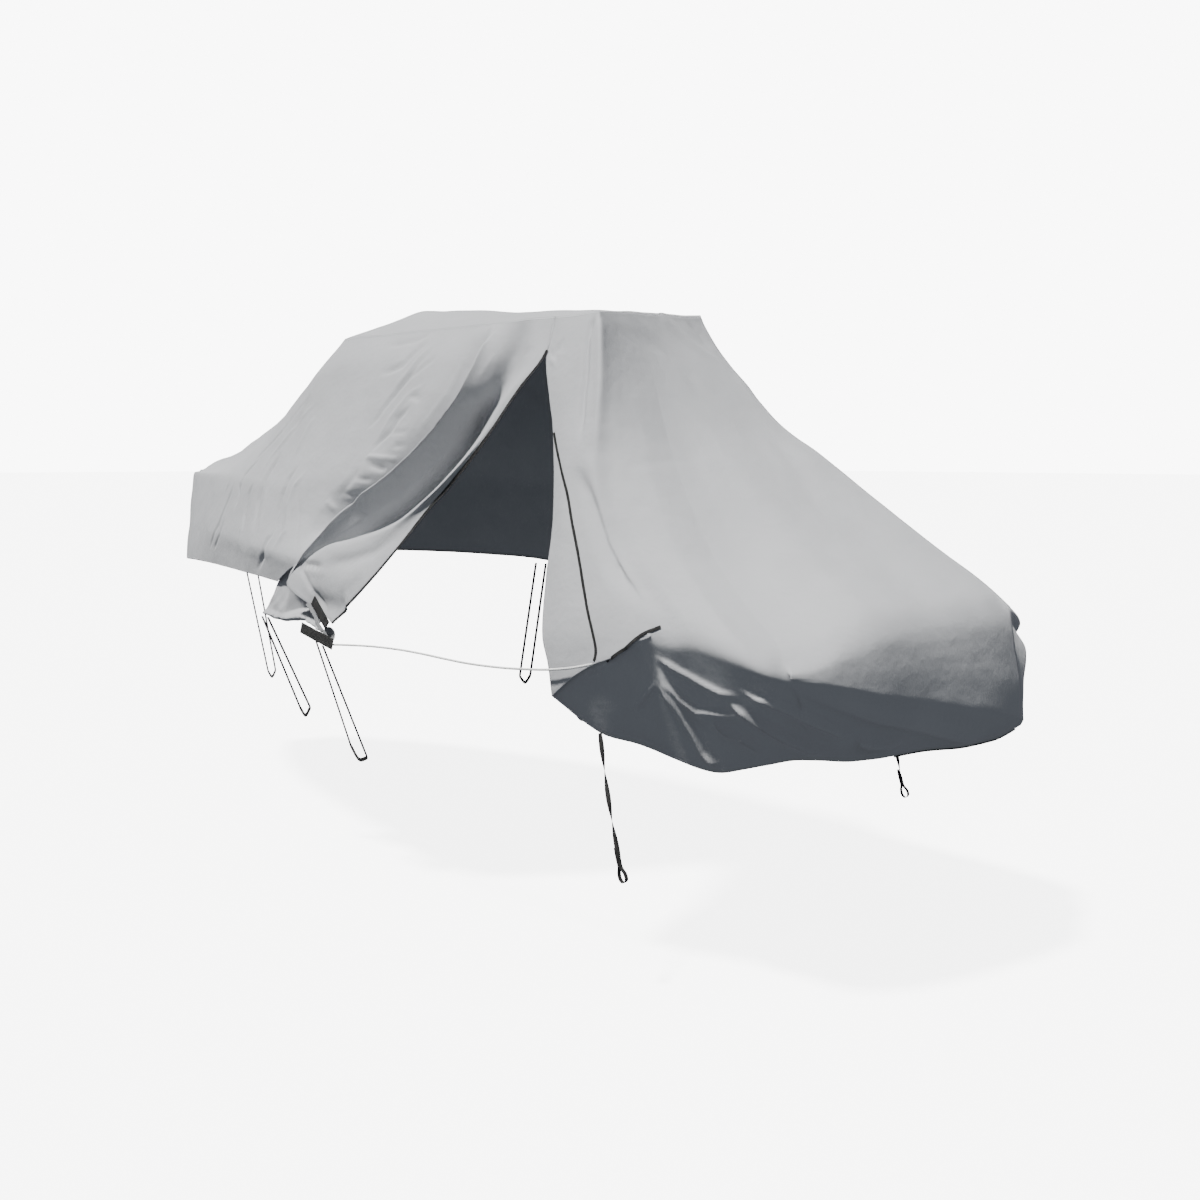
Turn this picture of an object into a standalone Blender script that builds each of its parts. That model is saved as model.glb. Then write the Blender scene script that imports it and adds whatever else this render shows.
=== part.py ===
"""Fitted cover for a tall boat kept on its trailer, with a zipped doorway in its port side.

Metres, +Z up. +X points to the bow and +Y to port. The origin lies under the middle of the
roof, where the cover hangs on what it hides. Tables give heights above the ground, which
lies GROUND_TO_ROOF below the origin; x is forward of the roof's middle and y is to port.
"""
import bpy
import numpy as np

# ---------------------------------------------------------------- driving dimensions
GROUND_TO_ROOF = 3.50       # from the ground up to the origin under the roof
CLOTH = 0.002               # thickness of the coated cloth with its backing
SEAM_SETBACK = 0.003        # each panel stops this far from a seam line
HEART_HEIGHT = 1.90         # height of the line that folds stand away from
HEART_AFT = -2.60           # aft end of that line
HEART_FORWARD = 2.40        # forward end of that line

WEBBING = 0.002             # thickness of the webbing
STRAP_WIDTH = 0.025
AFT_TWIST = 2.5 * np.pi     # the aft tie-downs hang twisted this far
STRAP_AFT_STEPS = 24
STRAP_EYE_STEPS = 28
STRAP_LEG_STEPS = 6
STRAP_TURN_STEPS = 9
STRAP_TURN_DROP = 0.05
TAB_WIDTH = 0.052
TAB_THICKNESS = 0.003
TAB_STEPS = 6
END_TAB_WIDTH = 0.016
END_TAB_STEPS = 9
ZIP_WIDTH = 0.016
ZIP_THICKNESS = 0.0016
ZIP_FORWARD_STEPS = 40
ZIP_FORWARD_FIRST = 3       # the tape stops this many steps short of the doorway's top
ZIP_FORWARD_OFFSET = (-0.010, 0.012, -0.004)
ZIP_AFT_STEPS = 22
ZIP_AFT_OFFSET = (0.0, 0.012, 0.0)
ROPE_DIAMETER = 0.012
ROPE_POINTS = 64
DISC_RADIUS = 0.048
DISC_THICKNESS = 0.003
DISC_TAIL_WIDTH = 0.028
DISC_STEPS = 18
DISC_LAST_TURN = 0.97 * np.pi   # the outline stops just short of the far rim
HEM_EDGE_DIAMETER = 0.009
HEM_EDGE_DROP = 0.010

COLLECTION = "boat_cover"

# ---------------------------------------------------------------- seam lines
# Each row is x, y, height.
ROOF_PORT_FORWARD = (
    (1.19, 0.60, 3.36),
    (-0.40, 0.60, 3.36),
)
ROOF_PORT_DOOR = (
    (-0.40, 0.60, 3.36),
    (-0.86, 0.60, 3.36),
)
ROOF_PORT_AFT = (
    (-0.86, 0.60, 3.36),
    (-1.20, 0.60, 3.36),
)
ROOF_STARBOARD_FORWARD = (
    (1.19, -0.60, 3.40),
    (0.20, -0.60, 3.405),
)
ROOF_STARBOARD_AFT = (
    (0.20, -0.60, 3.405),
    (-0.84, -0.60, 3.45),
)
ROOF_FORWARD = (
    (1.19, 0.60, 3.36),
    (1.15, 0.32, 3.46),
    (1.08, 0.00, 3.575),
    (1.15, -0.32, 3.48),
    (1.19, -0.60, 3.40),
)
ROOF_AFT = (
    (-1.20, 0.60, 3.36),
    (-1.10, 0.35, 3.385),
    (-1.01, 0.10, 3.41),
    (-0.93, -0.15, 3.42),
    (-0.86, -0.50, 3.44),
    (-0.84, -0.60, 3.45),
)
RIDGE_PORT = (
    (1.19, 0.60, 3.36),
    (1.50, 0.58, 3.18),
    (1.93, 0.54, 2.93),
    (2.37, 0.48, 2.77),
    (3.01, 0.39, 2.61),
    (3.47, 0.31, 2.55),
    (3.90, 0.18, 2.49),
    (4.20, 0.06, 2.475),
)
RIDGE_STARBOARD = (
    (1.19, -0.60, 3.40),
    (1.50, -0.58, 3.21),
    (1.93, -0.54, 2.95),
    (2.37, -0.48, 2.78),
    (3.01, -0.39, 2.61),
    (3.47, -0.31, 2.55),
    (3.90, -0.18, 2.49),
    (4.20, -0.06, 2.475),
)
BOW_NOSE_PORT = (
    (4.20, 0.06, 2.475),
    (4.27, 0.00, 2.44),
)
RAIL_PORT = (
    (4.27, 0.00, 2.44),
    (4.14, 0.12, 2.45),
    (3.88, 0.28, 2.46),
    (3.48, 0.49, 2.47),
    (2.88, 0.70, 2.47),
    (2.18, 0.90, 2.45),
    (1.68, 1.01, 2.42),
    (1.28, 1.06, 2.395),
    (0.98, 1.08, 2.38),
    (0.72, 1.08, 2.365),
    (0.40, 1.10, 2.33),
)
STEM = (
    (4.27, 0.00, 2.44),
    (4.30, 0.00, 2.22),
    (4.31, 0.00, 2.05),
    (4.37, 0.00, 1.90),
    (4.40, 0.00, 1.75),
)
HEM_BOW = (
    (4.40, 0.00, 1.75),
    (4.18, 0.18, 1.765),
    (3.88, 0.37, 1.78),
    (3.48, 0.58, 1.80),
    (2.88, 0.81, 1.83),
    (2.18, 1.00, 1.84),
    (1.68, 1.12, 1.835),
    (1.40, 1.165, 1.83),
    (1.10, 1.20, 1.81),
)
CREST_UPPER = (
    (-0.40, 0.60, 3.36),
    (-0.38, 0.76, 3.17),
    (-0.34, 0.85, 2.98),
    (-0.24, 0.92, 2.80),
    (-0.04, 1.00, 2.60),
    (0.20, 1.07, 2.43),
    (0.40, 1.10, 2.33),
)
CREST_LOWER = (
    (0.40, 1.10, 2.33),
    (0.60, 1.18, 2.14),
    (0.70, 1.24, 2.02),
    (0.74, 1.26, 1.96),
    (0.92, 1.23, 1.89),
    (1.10, 1.20, 1.81),
)
DOOR_AFT_EDGE = (
    (-0.86, 0.60, 3.36),
    (-0.88, 0.69, 3.15),
    (-0.99, 0.77, 2.94),
    (-1.11, 0.85, 2.73),
    (-1.24, 0.96, 2.44),
    (-1.33, 1.06, 2.20),
    (-1.39, 1.16, 1.95),
    (-1.46, 1.24, 1.71),
    (-1.52, 1.26, 1.58),
    (-1.55, 1.26, 1.43),
)
AFT_FLAP_FOOT = (
    (-1.55, 1.26, 1.43),
    (-1.72, 1.27, 1.55),
    (-1.85, 1.265, 1.62),
    (-1.98, 1.26, 1.67),
    (-2.08, 1.24, 1.74),
    (-2.17, 1.22, 1.78),
)
QUARTER_BREAK = (
    (-1.20, 0.60, 3.36),
    (-1.25, 0.64, 3.28),
    (-1.35, 0.73, 3.03),
    (-1.51, 0.93, 2.53),
    (-1.71, 1.07, 2.18),
    (-1.91, 1.13, 2.01),
    (-2.12, 1.19, 1.87),
    (-2.17, 1.22, 1.78),
)
STERN_RIDGE = (
    (-0.84, -0.60, 3.45),
    (-0.86, -0.60, 3.41),
    (-0.97, -0.59, 3.27),
    (-1.10, -0.58, 3.14),
    (-1.32, -0.56, 2.94),
    (-1.56, -0.54, 2.75),
    (-1.86, -0.51, 2.59),
    (-2.25, -0.47, 2.36),
    (-2.66, -0.41, 2.13),
    (-2.95, -0.38, 1.97),
    (-3.10, -0.36, 1.87),
)
FACE_TOP_PORT = (
    (-2.83, 1.02, 1.655),
    (-2.89, 0.88, 1.69),
    (-2.94, 0.73, 1.77),
    (-2.98, 0.56, 1.83),
    (-3.05, 0.19, 1.85),
    (-3.09, -0.15, 1.875),
    (-3.10, -0.36, 1.87),
)
QUARTER_TOP = (
    (-2.17, 1.22, 1.78),
    (-2.28, 1.205, 1.76),
    (-2.41, 1.19, 1.77),
    (-2.65, 1.17, 1.72),
    (-2.77, 1.11, 1.67),
    (-2.83, 1.02, 1.655),
)
FACE_TOP_STARBOARD = (
    (-3.10, -0.36, 1.87),
    (-2.94, -0.61, 1.81),
    (-2.82, -0.87, 1.72),
    (-2.75, -1.0, 1.655),
)
FACE_FOOT_PORT = (
    (-2.83, 1.02, 1.635),
    (-2.899, 0.892, 1.612),
    (-2.977, 0.654, 1.555),
    (-3.046, 0.345, 1.485),
    (-3.13, -0.183, 1.384),
    (-3.13, -0.47, 1.3),
)
FACE_FOOT_STARBOARD = (
    (-3.13, -0.47, 1.30),
    (-3.04, -0.64, 1.44),
    (-2.92, -0.88, 1.59),
    (-2.75, -1.0, 1.635),
)
FACE_SIDE = (
    (-3.1, -0.36, 1.87),
    (-3.115, -0.365, 1.75),
    (-3.125, -0.38, 1.63),
    (-3.135, -0.41, 1.5),
    (-3.13, -0.47, 1.3),
)
STERN_HEM_PORT = (
    (-1.53, 1.24, 1.42),
    (-1.737, 1.119, 1.257),
    (-1.891, 1.018, 1.207),
    (-2.071, 0.929, 1.144),
    (-2.302, 0.903, 1.115),
    (-2.464, 0.892, 1.152),
    (-2.57, 0.862, 1.182),
    (-2.682, 0.768, 1.213),
    (-2.83, 0.54, 1.2),
    (-2.94, 0.12, 1.205),
    (-3.06, -0.34, 1.21),
    (-3.11, -0.48, 1.27),
)
RAIL_STARBOARD_AFT = (
    (0.40, -1.10, 2.33),
    (0.20, -1.13, 2.18),
    (-0.05, -1.17, 1.99),
    (-0.35, -1.22, 1.83),
    (-0.75, -1.25, 1.76),
    (-1.50, -1.25, 1.74),
    (-2.20, -1.22, 1.75),
    (-2.60, -1.17, 1.73),
    (-2.77, -1.11, 1.68),
    (-2.75, -1.0, 1.655),
)
STARBOARD_SEAM = (
    (0.20, -0.60, 3.405),
    (0.25, -0.76, 3.08),
    (0.32, -0.93, 2.70),
    (0.40, -1.10, 2.33),
)
HEM_STARBOARD = (
    (1.10, -1.20, 1.81),
    (0.70, -1.23, 1.66),
    (0.38, -1.24, 1.53),
    (-0.40, -1.24, 1.51),
    (-1.20, -1.23, 1.50),
    (-1.78, -1.14, 1.265),
    (-2.21, -1.09, 1.20),
    (-2.50, -1.03, 1.18),
    (-2.67, -0.94, 1.21),
    (-2.78, -0.80, 1.23),
    (-2.98, -0.58, 1.24),
    (-3.11, -0.48, 1.27),
)

# The hem corner that is drawn in under the folded flap. Each row is x, y, height.
GATHER_TOP = (
    (1.12, 1.165, 1.83),
    (0.95, 1.185, 1.915),
    (0.835, 1.19, 1.965),
    (0.715, 1.17, 1.9),
)
GATHER_FOOT = (
    (1.27, 1.19, 1.592),
    (1.1, 1.21, 1.574),
    (0.96, 1.215, 1.575),
    (0.84, 1.2, 1.59),
    (0.68, 1.225, 1.585),
    (0.472, 1.285, 1.55),
)

# Lines of the folded forward flap from the roof down. Each row is x, y, height.
FLAP_TROUGH = (
    (-0.6, 0.6, 3.36),
    (-0.564, 0.628, 3.135),
    (-0.465, 0.653, 2.949),
    (-0.336, 0.633, 2.827),
    (-0.286, 0.643, 2.748),
    (-0.218, 0.709, 2.587),
    (-0.076, 0.783, 2.418),
    (0.068, 0.865, 2.293),
    (0.262, 0.949, 2.176),
    (0.464, 1.053, 2.082),
    (0.619, 1.143, 2.024),
    (0.717, 1.224, 1.964),
    (0.8, 1.262, 1.9),
    (0.832, 1.285, 1.806),
)
FLAP_LIP = (
    (-0.72, 0.6, 3.36),
    (-0.74, 0.71, 3.11),
    (-0.65, 0.82, 2.91),
    (-0.58, 0.9, 2.73),
    (-0.5, 1.01, 2.55),
    (-0.36, 1.12, 2.37),
    (-0.14, 1.19, 2.22),
    (0.22, 1.23, 2.11),
    (0.46, 1.24, 2.05),
    (0.63, 1.26, 1.93),
    (0.6, 1.285, 1.82),
    (0.559, 1.3, 1.712),
)
DOOR_FORWARD_EDGE = (
    (-0.85, 0.60, 3.36),
    (-0.87, 0.70, 3.145),
    (-0.77, 0.79, 2.97),
    (-0.64, 0.93, 2.69),
    (-0.50, 1.05, 2.45),
    (-0.37, 1.14, 2.28),
    (-0.10, 1.31, 1.91),
    (0.06, 1.35, 1.77),
    (0.27, 1.35, 1.63),
)

GATHER_FORWARD = (
    (1.12, 1.165, 1.83),
    (1.2, 1.19, 1.695),
    (1.27, 1.19, 1.592),
)
GATHER_AFT = (
    (0.715, 1.17, 1.9),
    (0.655, 1.16, 1.76),
    (0.6, 1.19, 1.68),
    (0.53, 1.265, 1.6),
    (0.472, 1.285, 1.55),
)
STARBOARD_LOWER_SEAM = (
    (0.40, -1.10, 2.33),
    (0.72, -1.17, 2.08),
    (1.10, -1.20, 1.81),
)

# ---------------------------------------------------------------- steps along the seams
RIDGE_STEPS = 17
ROOF_FORWARD_STEPS = 9
ROOF_DOOR_STEPS = 4
ROOF_WIDTH = 13
NOSE_STEPS = 7
STARBOARD_ROOF_AFT_STEPS = 12
CREST_UPPER_STEPS = 9
CREST_LOWER_STEPS = 7
CREST_FLAP_STEPS = 5
GATHER_STEPS = 10
GATHER_DEPTH = 6
FLAP_WIDTH = 11
QUARTER_STEPS = 19
QUARTER_WIDTH = 8
FACE_STEPS = 9
FACE_DEPTH = 5
SKIRT_STEPS = 37
SKIRT_DEPTH = 6
HEM_EDGE_FIRST = 25
HEM_EDGE_LAST = 36
STARBOARD_DEPTH = 7
STARBOARD_SKIRT_STEPS = 29
STARBOARD_SKIRT_DEPTH = 5
FLAP_CLEARANCE = (-0.012, -0.004, -0.004)
NOSE_CLEARANCE = (0.004, 0.007, -0.003)
SKIRT_TUCK = 0.014          # the skirts start this far inside the cloth above them

# ---------------------------------------------------------------- main folds
# Each row is the fold's two ends as x, y, height, then its half width and its height
# over the cloth, negative for a trough.
FOLDS = (
    (1.28, 1.10, 2.45, 1.42, 1.17, 1.85, 0.050, -0.026),
    (1.05, 1.08, 2.40, 1.20, 1.18, 1.85, 0.060, 0.022),
    (1.70, 0.98, 2.50, 2.05, 1.02, 1.90, 0.055, -0.014),
    (2.20, 0.88, 2.50, 2.60, 0.92, 1.95, 0.060, -0.014),
    (-0.20, 0.80, 3.15, 0.32, 1.06, 2.48, 0.110, -0.090),
    (-0.05, 0.80, 3.30, 0.70, 1.00, 2.55, 0.060, 0.014),
    (-1.19, 0.60, 3.34, -1.40, 0.88, 2.65, 0.050, -0.024),
    (-1.27, 0.62, 3.34, -1.55, 0.93, 2.45, 0.045, 0.016),
    (-1.44, 0.92, 2.50, -2.08, 1.20, 1.92, 0.060, -0.018),
    (-0.93, -0.15, 3.41, -1.66, -0.20, 2.92, 0.090, 0.016),
    (-2.17, 1.18, 1.66, -2.62, 1.09, 1.54, 0.035, 0.020),
    (-2.20, 1.15, 1.60, -2.73, 1.01, 1.37, 0.040, 0.022),
    (-2.14, 1.16, 1.62, -2.50, 1.10, 1.22, 0.040, 0.020),
    (-2.63, 1.09, 1.58, -2.91, 0.53, 1.28, 0.040, 0.022),
    (-2.10, 1.18, 1.62, -2.05, 1.14, 1.28, 0.045, -0.018),
)

# ---------------------------------------------------------------- trim
# Each row is x, y, height.
ZIP_AFT = (
    (-1.12, 0.875, 2.725),
    (-1.27, 0.955, 2.54),
    (-1.44, 1.045, 2.30),
    (-1.61, 1.135, 2.06),
    (-1.76, 1.215, 1.84),
    (-1.86, 1.275, 1.70),
    (-1.88, 1.290, 1.645),
)
ZIP_END_TAB = (
    (-1.99, 1.285, 1.675),
    (-2.06, 1.280, 1.725),
    (-2.14, 1.260, 1.780),
    (-2.27, 1.240, 1.835),
)
FLAP_TAB_UPPER = (
    (0.484, 1.326, 1.751),
    (0.381, 1.344, 1.683),
    (0.293, 1.354, 1.615),
)
FLAP_TAB_LOWER = (
    (0.58, 1.352, 1.58),
    (0.403, 1.356, 1.545),
    (0.23, 1.36, 1.512),
)
# A grey tail runs down beside the upper tab and ends in a disc.
DISC_TAIL_TOP = (0.571, 1.311, 1.722)
DISC_CENTRE = (0.317, 1.33, 1.557)
TAB_FACING = (0.0, 0.994, 0.10)
DISC_FACING = (-0.30, 0.948, 0.11)
HEM_ROPE = (
    (0.264, 1.35, 1.507),
    (0.137, 1.338, 1.517),
    (-0.07, 1.305, 1.527),
    (-0.3, 1.285, 1.531),
    (-0.52, 1.285, 1.53),
    (-0.73, 1.285, 1.524),
    (-0.93, 1.285, 1.521),
    (-1.19, 1.285, 1.529),
    (-1.4, 1.29, 1.545),
    (-1.56, 1.296, 1.562),
    (-1.7, 1.3, 1.584),
    (-1.8, 1.302, 1.605),
    (-1.88, 1.302, 1.625),
)
# A tie-down runs down one leg, under what it holds and up the other leg.
# Each row names the strap and gives both legs' tops and feet as x, y, height.
STRAP_LOOPS = (
    ("strap_port_mid", (0.50, 1.300, 1.50), (0.68, 0.95, 0.79), (0.50, 0.95, 0.74), (0.43, 1.300, 1.48)),
    ("strap_port_forward", (1.32, 1.18, 1.57), (1.26, 0.95, 0.95), (1.14, 0.95, 0.97), (1.25, 1.18, 1.57)),
    ("strap_starboard_bow", (4.12, -0.28, 1.74), (3.62, -0.20, 0.80), (3.50, -0.20, 0.82), (4.02, -0.33, 1.74)),
    ("strap_starboard_mid", (0.50, -1.24, 1.53), (0.68, -0.95, 0.79), (0.50, -0.95, 0.74), (0.43, -1.24, 1.51)),
    ("strap_starboard_forward", (1.32, -1.17, 1.79), (1.26, -0.95, 0.95), (1.14, -0.95, 0.97), (1.22, -1.18, 1.79)),
)
STRAP_AFT = (
    (-1.76, 1.135, 1.255),
    (-1.835, 1.17, 1.05),
    (-1.905, 1.195, 0.86),
    (-1.955, 1.195, 0.68),
)
# The sewn loop at the foot of the aft tie-downs.
STRAP_EYE = (
    (-1.955, 1.195, 0.680),
    (-1.969, 1.195, 0.640),
    (-1.998, 1.195, 0.612),
    (-2.005, 1.195, 0.585),
    (-1.986, 1.195, 0.568),
    (-1.964, 1.195, 0.582),
    (-1.955, 1.195, 0.612),
    (-1.957, 1.195, 0.640),
    (-1.944, 1.195, 0.680),
    (-1.930, 1.195, 0.730),
)

# ---------------------------------------------------------------- colours
CLOTH_LIT = (0.53, 0.54, 0.56, 1.0)
BLACK_TRIM = (0.012, 0.012, 0.014, 1.0)
GREY_TRIM = (0.09, 0.095, 0.10, 1.0)
ROPE_WHITE = (0.78, 0.79, 0.78, 1.0)


# ---------------------------------------------------------------- lines and surfaces
def rows(table):
    """Table of x, y, height as an array in the part's frame."""
    line = np.array(table, dtype=float)
    line[:, 2] -= GROUND_TO_ROOF
    return line


def mirrored(table):
    """The same table on the other side of the boat."""
    return tuple((x, -y, height) for x, y, height in table)


def line(table, count):
    """Points evenly spaced along a smooth curve through the table's rows."""
    knots = rows(table)
    chords = np.linalg.norm(np.diff(knots, axis=0), axis=1)
    stations = np.concatenate(([0.0], np.cumsum(chords)))
    slopes = np.diff(knots, axis=0) / chords[:, None]
    tangents = np.empty_like(knots)
    tangents[0] = slopes[0]
    tangents[-1] = slopes[-1]
    before = chords[:-1, None]
    after = chords[1:, None]
    tangents[1:-1] = (slopes[:-1] * before + slopes[1:] * after) / (before + after)
    at = np.linspace(0.0, stations[-1], count)
    span = np.clip(np.searchsorted(stations, at, side="right") - 1, 0, len(chords) - 1)
    length = chords[span][:, None]
    t = ((at - stations[span])[:, None]) / length
    near = (2 * t**3 - 3 * t**2 + 1) * knots[span] + (t**3 - 2 * t**2 + t) * length * tangents[span]
    far = (-2 * t**3 + 3 * t**2) * knots[span + 1] + (t**3 - t**2) * length * tangents[span + 1]
    return near + far


def chain(*lines):
    """One line from several that each start where the last one ends."""
    pieces = [lines[0]] + [piece[1:] for piece in lines[1:]]
    return np.concatenate(pieces)


def coons(upper, lower, first, last):
    """Surface that fills the space between four seam lines, as a grid of points."""
    u = np.linspace(0.0, 1.0, len(upper))[:, None, None]
    v = np.linspace(0.0, 1.0, len(first))[None, :, None]
    between_rows = (1 - v) * upper[:, None] + v * lower[:, None]
    between_ends = (1 - u) * first[None] + u * last[None]
    corners = (1 - u) * (1 - v) * upper[0] + u * (1 - v) * upper[-1]
    corners = corners + (1 - u) * v * lower[0] + u * v * lower[-1]
    return between_rows + between_ends - corners


def loft(guides, across):
    """Surface through several lines, smooth from each line to the next."""
    guides = np.array(guides)
    position = np.linspace(0.0, len(guides) - 1.0, across)
    span = np.clip(position.astype(int), 0, len(guides) - 2)
    t = (position - span)[None, :, None]
    slope = np.gradient(guides, axis=0)
    near = np.moveaxis(guides[span], 0, 1)
    far = np.moveaxis(guides[span + 1], 0, 1)
    leave = np.moveaxis(slope[span], 0, 1)
    reach = np.moveaxis(slope[span + 1], 0, 1)
    surface = (2 * t**3 - 3 * t**2 + 1) * near + (t**3 - 2 * t**2 + t) * leave
    return surface + (-2 * t**3 + 3 * t**2) * far + (t**3 - t**2) * reach


def outward(points):
    """Unit directions away from the heart line inside the cover."""
    heart = np.zeros_like(points)
    heart[..., 0] = np.clip(points[..., 0], HEART_AFT, HEART_FORWARD)
    heart[..., 2] = HEART_HEIGHT - GROUND_TO_ROOF
    away = points - heart
    return away / np.linalg.norm(away, axis=-1, keepdims=True)


def folded(points):
    """Points moved out or in by every main fold near them."""
    moved = points.copy()
    away = outward(points)
    for x0, y0, height0, x1, y1, height1, half_width, relief in FOLDS:
        start, end = rows(((x0, y0, height0), (x1, y1, height1)))
        run = end - start
        share = np.clip(((points - start) @ run) / (run @ run), 0.0, 1.0)
        distance = np.linalg.norm(points - start - share[..., None] * run, axis=-1)
        swell = relief * np.exp(-((distance / half_width) ** 2))
        moved = moved + away * swell[..., None]
    return moved


def set_back(grid, gaps):
    """Grid whose first and last rows and columns stop short of the seams by the gaps."""
    trimmed = grid.copy()
    first_row, last_row, first_column, last_column = gaps

    def pulled(edge, inner, gap):
        step = inner - edge
        size = np.maximum(np.linalg.norm(step, axis=-1, keepdims=True), 1e-6)
        return edge + step / size * np.minimum(gap, size * 0.4)

    trimmed[0] = pulled(trimmed[0], trimmed[1], first_row)
    trimmed[-1] = pulled(trimmed[-1], trimmed[-2], last_row)
    trimmed[:, 0] = pulled(trimmed[:, 0], trimmed[:, 1], first_column)
    trimmed[:, -1] = pulled(trimmed[:, -1], trimmed[:, -2], last_column)
    return trimmed


# ---------------------------------------------------------------- Blender objects
def clear_scene():
    """Remove every object of the starting scene."""
    for item in list(bpy.data.objects):
        bpy.data.objects.remove(item, do_unlink=True)


def material(name, colour, roughness, metallic=0.0):
    """Principled material with one colour."""
    finish = bpy.data.materials.new(name)
    finish.use_nodes = True
    shader = finish.node_tree.nodes["Principled BSDF"]
    shader.inputs["Base Color"].default_value = colour
    shader.inputs["Roughness"].default_value = roughness
    shader.inputs["Metallic"].default_value = metallic
    return finish


def strip_object(name, grid, thickness, finish, collection):
    """Thin closed sheet from an open grid of points, thickened both ways."""
    along, across = grid.shape[:2]
    index = np.arange(along * across).reshape(along, across)
    corners = (index[:-1, :-1], index[1:, :-1], index[1:, 1:], index[:-1, 1:])
    quads = np.stack(corners, axis=-1).reshape(-1, 4)
    mesh = bpy.data.meshes.new(name)
    mesh.from_pydata(grid.reshape(-1, 3).tolist(), [], quads.tolist())
    mesh.materials.append(finish)
    mesh.shade_smooth()
    item = bpy.data.objects.new(name, mesh)
    collection.objects.link(item)
    solid = item.modifiers.new("thickness", "SOLIDIFY")
    solid.thickness = thickness
    solid.offset = 0.0
    return item


def cloth_panel(name, grid, finish, collection, gaps=(SEAM_SETBACK,) * 4):
    """Sewn panel of the cover, folded and set back from its seams."""
    return strip_object(name, set_back(folded(grid), gaps), CLOTH, finish, collection)


def ribbon(name, path, width, thickness, finish, collection, facing=(0.0, 1.0, 0.0), twist=0.0,
           share=1.0):
    """Flat webbing along a path, its broad face turned to a direction, then twisted up to the share."""
    tangent = np.gradient(path, axis=0)
    tangent /= np.linalg.norm(tangent, axis=1, keepdims=True)
    across = np.cross(tangent, np.broadcast_to(np.array(facing), path.shape))
    across /= np.linalg.norm(across, axis=1, keepdims=True)
    normal = np.cross(across, tangent)
    angle = twist * np.minimum(np.linspace(0.0, 1.0, len(path)) / share, 1.0)[:, None]
    side = (across * np.cos(angle) + normal * np.sin(angle)) * width / 2
    grid = np.stack((path - side, path + side), axis=1)
    return strip_object(name, grid, thickness, finish, collection)


def cord(name, path, diameter, finish, collection):
    """Round cord as a poly curve with filled caps."""
    curve = bpy.data.curves.new(name, "CURVE")
    curve.dimensions = "3D"
    curve.bevel_depth = diameter / 2
    curve.bevel_resolution = 2
    curve.use_fill_caps = True
    spline = curve.splines.new("POLY")
    spline.points.add(len(path) - 1)
    for point, place in zip(spline.points, path):
        point.co = (*place, 1.0)
    curve.materials.append(finish)
    item = bpy.data.objects.new(name, curve)
    collection.objects.link(item)
    return item


def tongue(tail_top, centre):
    """Path and widths of a straight tail that ends in a disc round the centre."""
    start, middle = rows((tail_top, centre))
    length = np.linalg.norm(middle - start)
    turn = np.linspace(np.arcsin(DISC_TAIL_WIDTH / 2 / DISC_RADIUS), DISC_LAST_TURN, DISC_STEPS)
    far = np.concatenate(([0.0], length - DISC_RADIUS * np.cos(turn)))[:, None]
    width = np.concatenate(([DISC_TAIL_WIDTH], 2 * DISC_RADIUS * np.sin(turn)))[:, None]
    return start + (middle - start) / length * far, width


# ---------------------------------------------------------------- sub-assemblies
def build_roof(finish, collection):
    """Peaked top panel and the forward slope below it."""
    port = chain(
        line(ROOF_PORT_FORWARD, ROOF_FORWARD_STEPS),
        line(ROOF_PORT_DOOR, ROOF_DOOR_STEPS),
        line(ROOF_PORT_AFT, QUARTER_WIDTH),
    )
    starboard_forward_steps = len(port) + 1 - STARBOARD_ROOF_AFT_STEPS
    starboard = chain(
        line(ROOF_STARBOARD_FORWARD, starboard_forward_steps),
        line(ROOF_STARBOARD_AFT, STARBOARD_ROOF_AFT_STEPS),
    )
    top = coons(port, starboard, line(ROOF_FORWARD, ROOF_WIDTH), line(ROOF_AFT, ROOF_WIDTH))
    cloth_panel("roof_panel", top, finish, collection)
    nose = line(BOW_NOSE_PORT, NOSE_STEPS)
    slope = coons(
        line(RIDGE_PORT, RIDGE_STEPS),
        line(RIDGE_STARBOARD, RIDGE_STEPS),
        line(ROOF_FORWARD, ROOF_WIDTH),
        chain(nose, line(mirrored(BOW_NOSE_PORT), NOSE_STEPS)[::-1]),
    )
    cloth_panel("bow_slope_panel", slope, finish, collection)


def build_port_bow(finish, collection):
    """Port side forward of the doorway, with the drawn-in hem corner."""
    top = chain(line(RIDGE_PORT, RIDGE_STEPS)[::-1], line(ROOF_PORT_FORWARD, ROOF_FORWARD_STEPS))
    rail = line(RAIL_PORT, len(top))
    nose = line(BOW_NOSE_PORT, CREST_UPPER_STEPS)
    upper = coons(top, rail, nose, line(CREST_UPPER, CREST_UPPER_STEPS))
    upper[0] = upper[0] + np.array(NOSE_CLEARANCE)
    cloth_panel("port_bow_upper", upper, finish, collection)
    stem = line(STEM, CREST_LOWER_STEPS)
    lower = coons(rail, line(HEM_BOW, len(top)), stem, line(CREST_LOWER, CREST_LOWER_STEPS))
    cloth_panel("port_bow_lower", lower, finish, collection)
    gather = coons(
        line(GATHER_TOP, GATHER_STEPS),
        line(GATHER_FOOT, GATHER_STEPS),
        line(GATHER_FORWARD, GATHER_DEPTH),
        line(GATHER_AFT, GATHER_DEPTH),
    )
    cloth_panel("port_hem_gather", gather, finish, collection)


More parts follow.
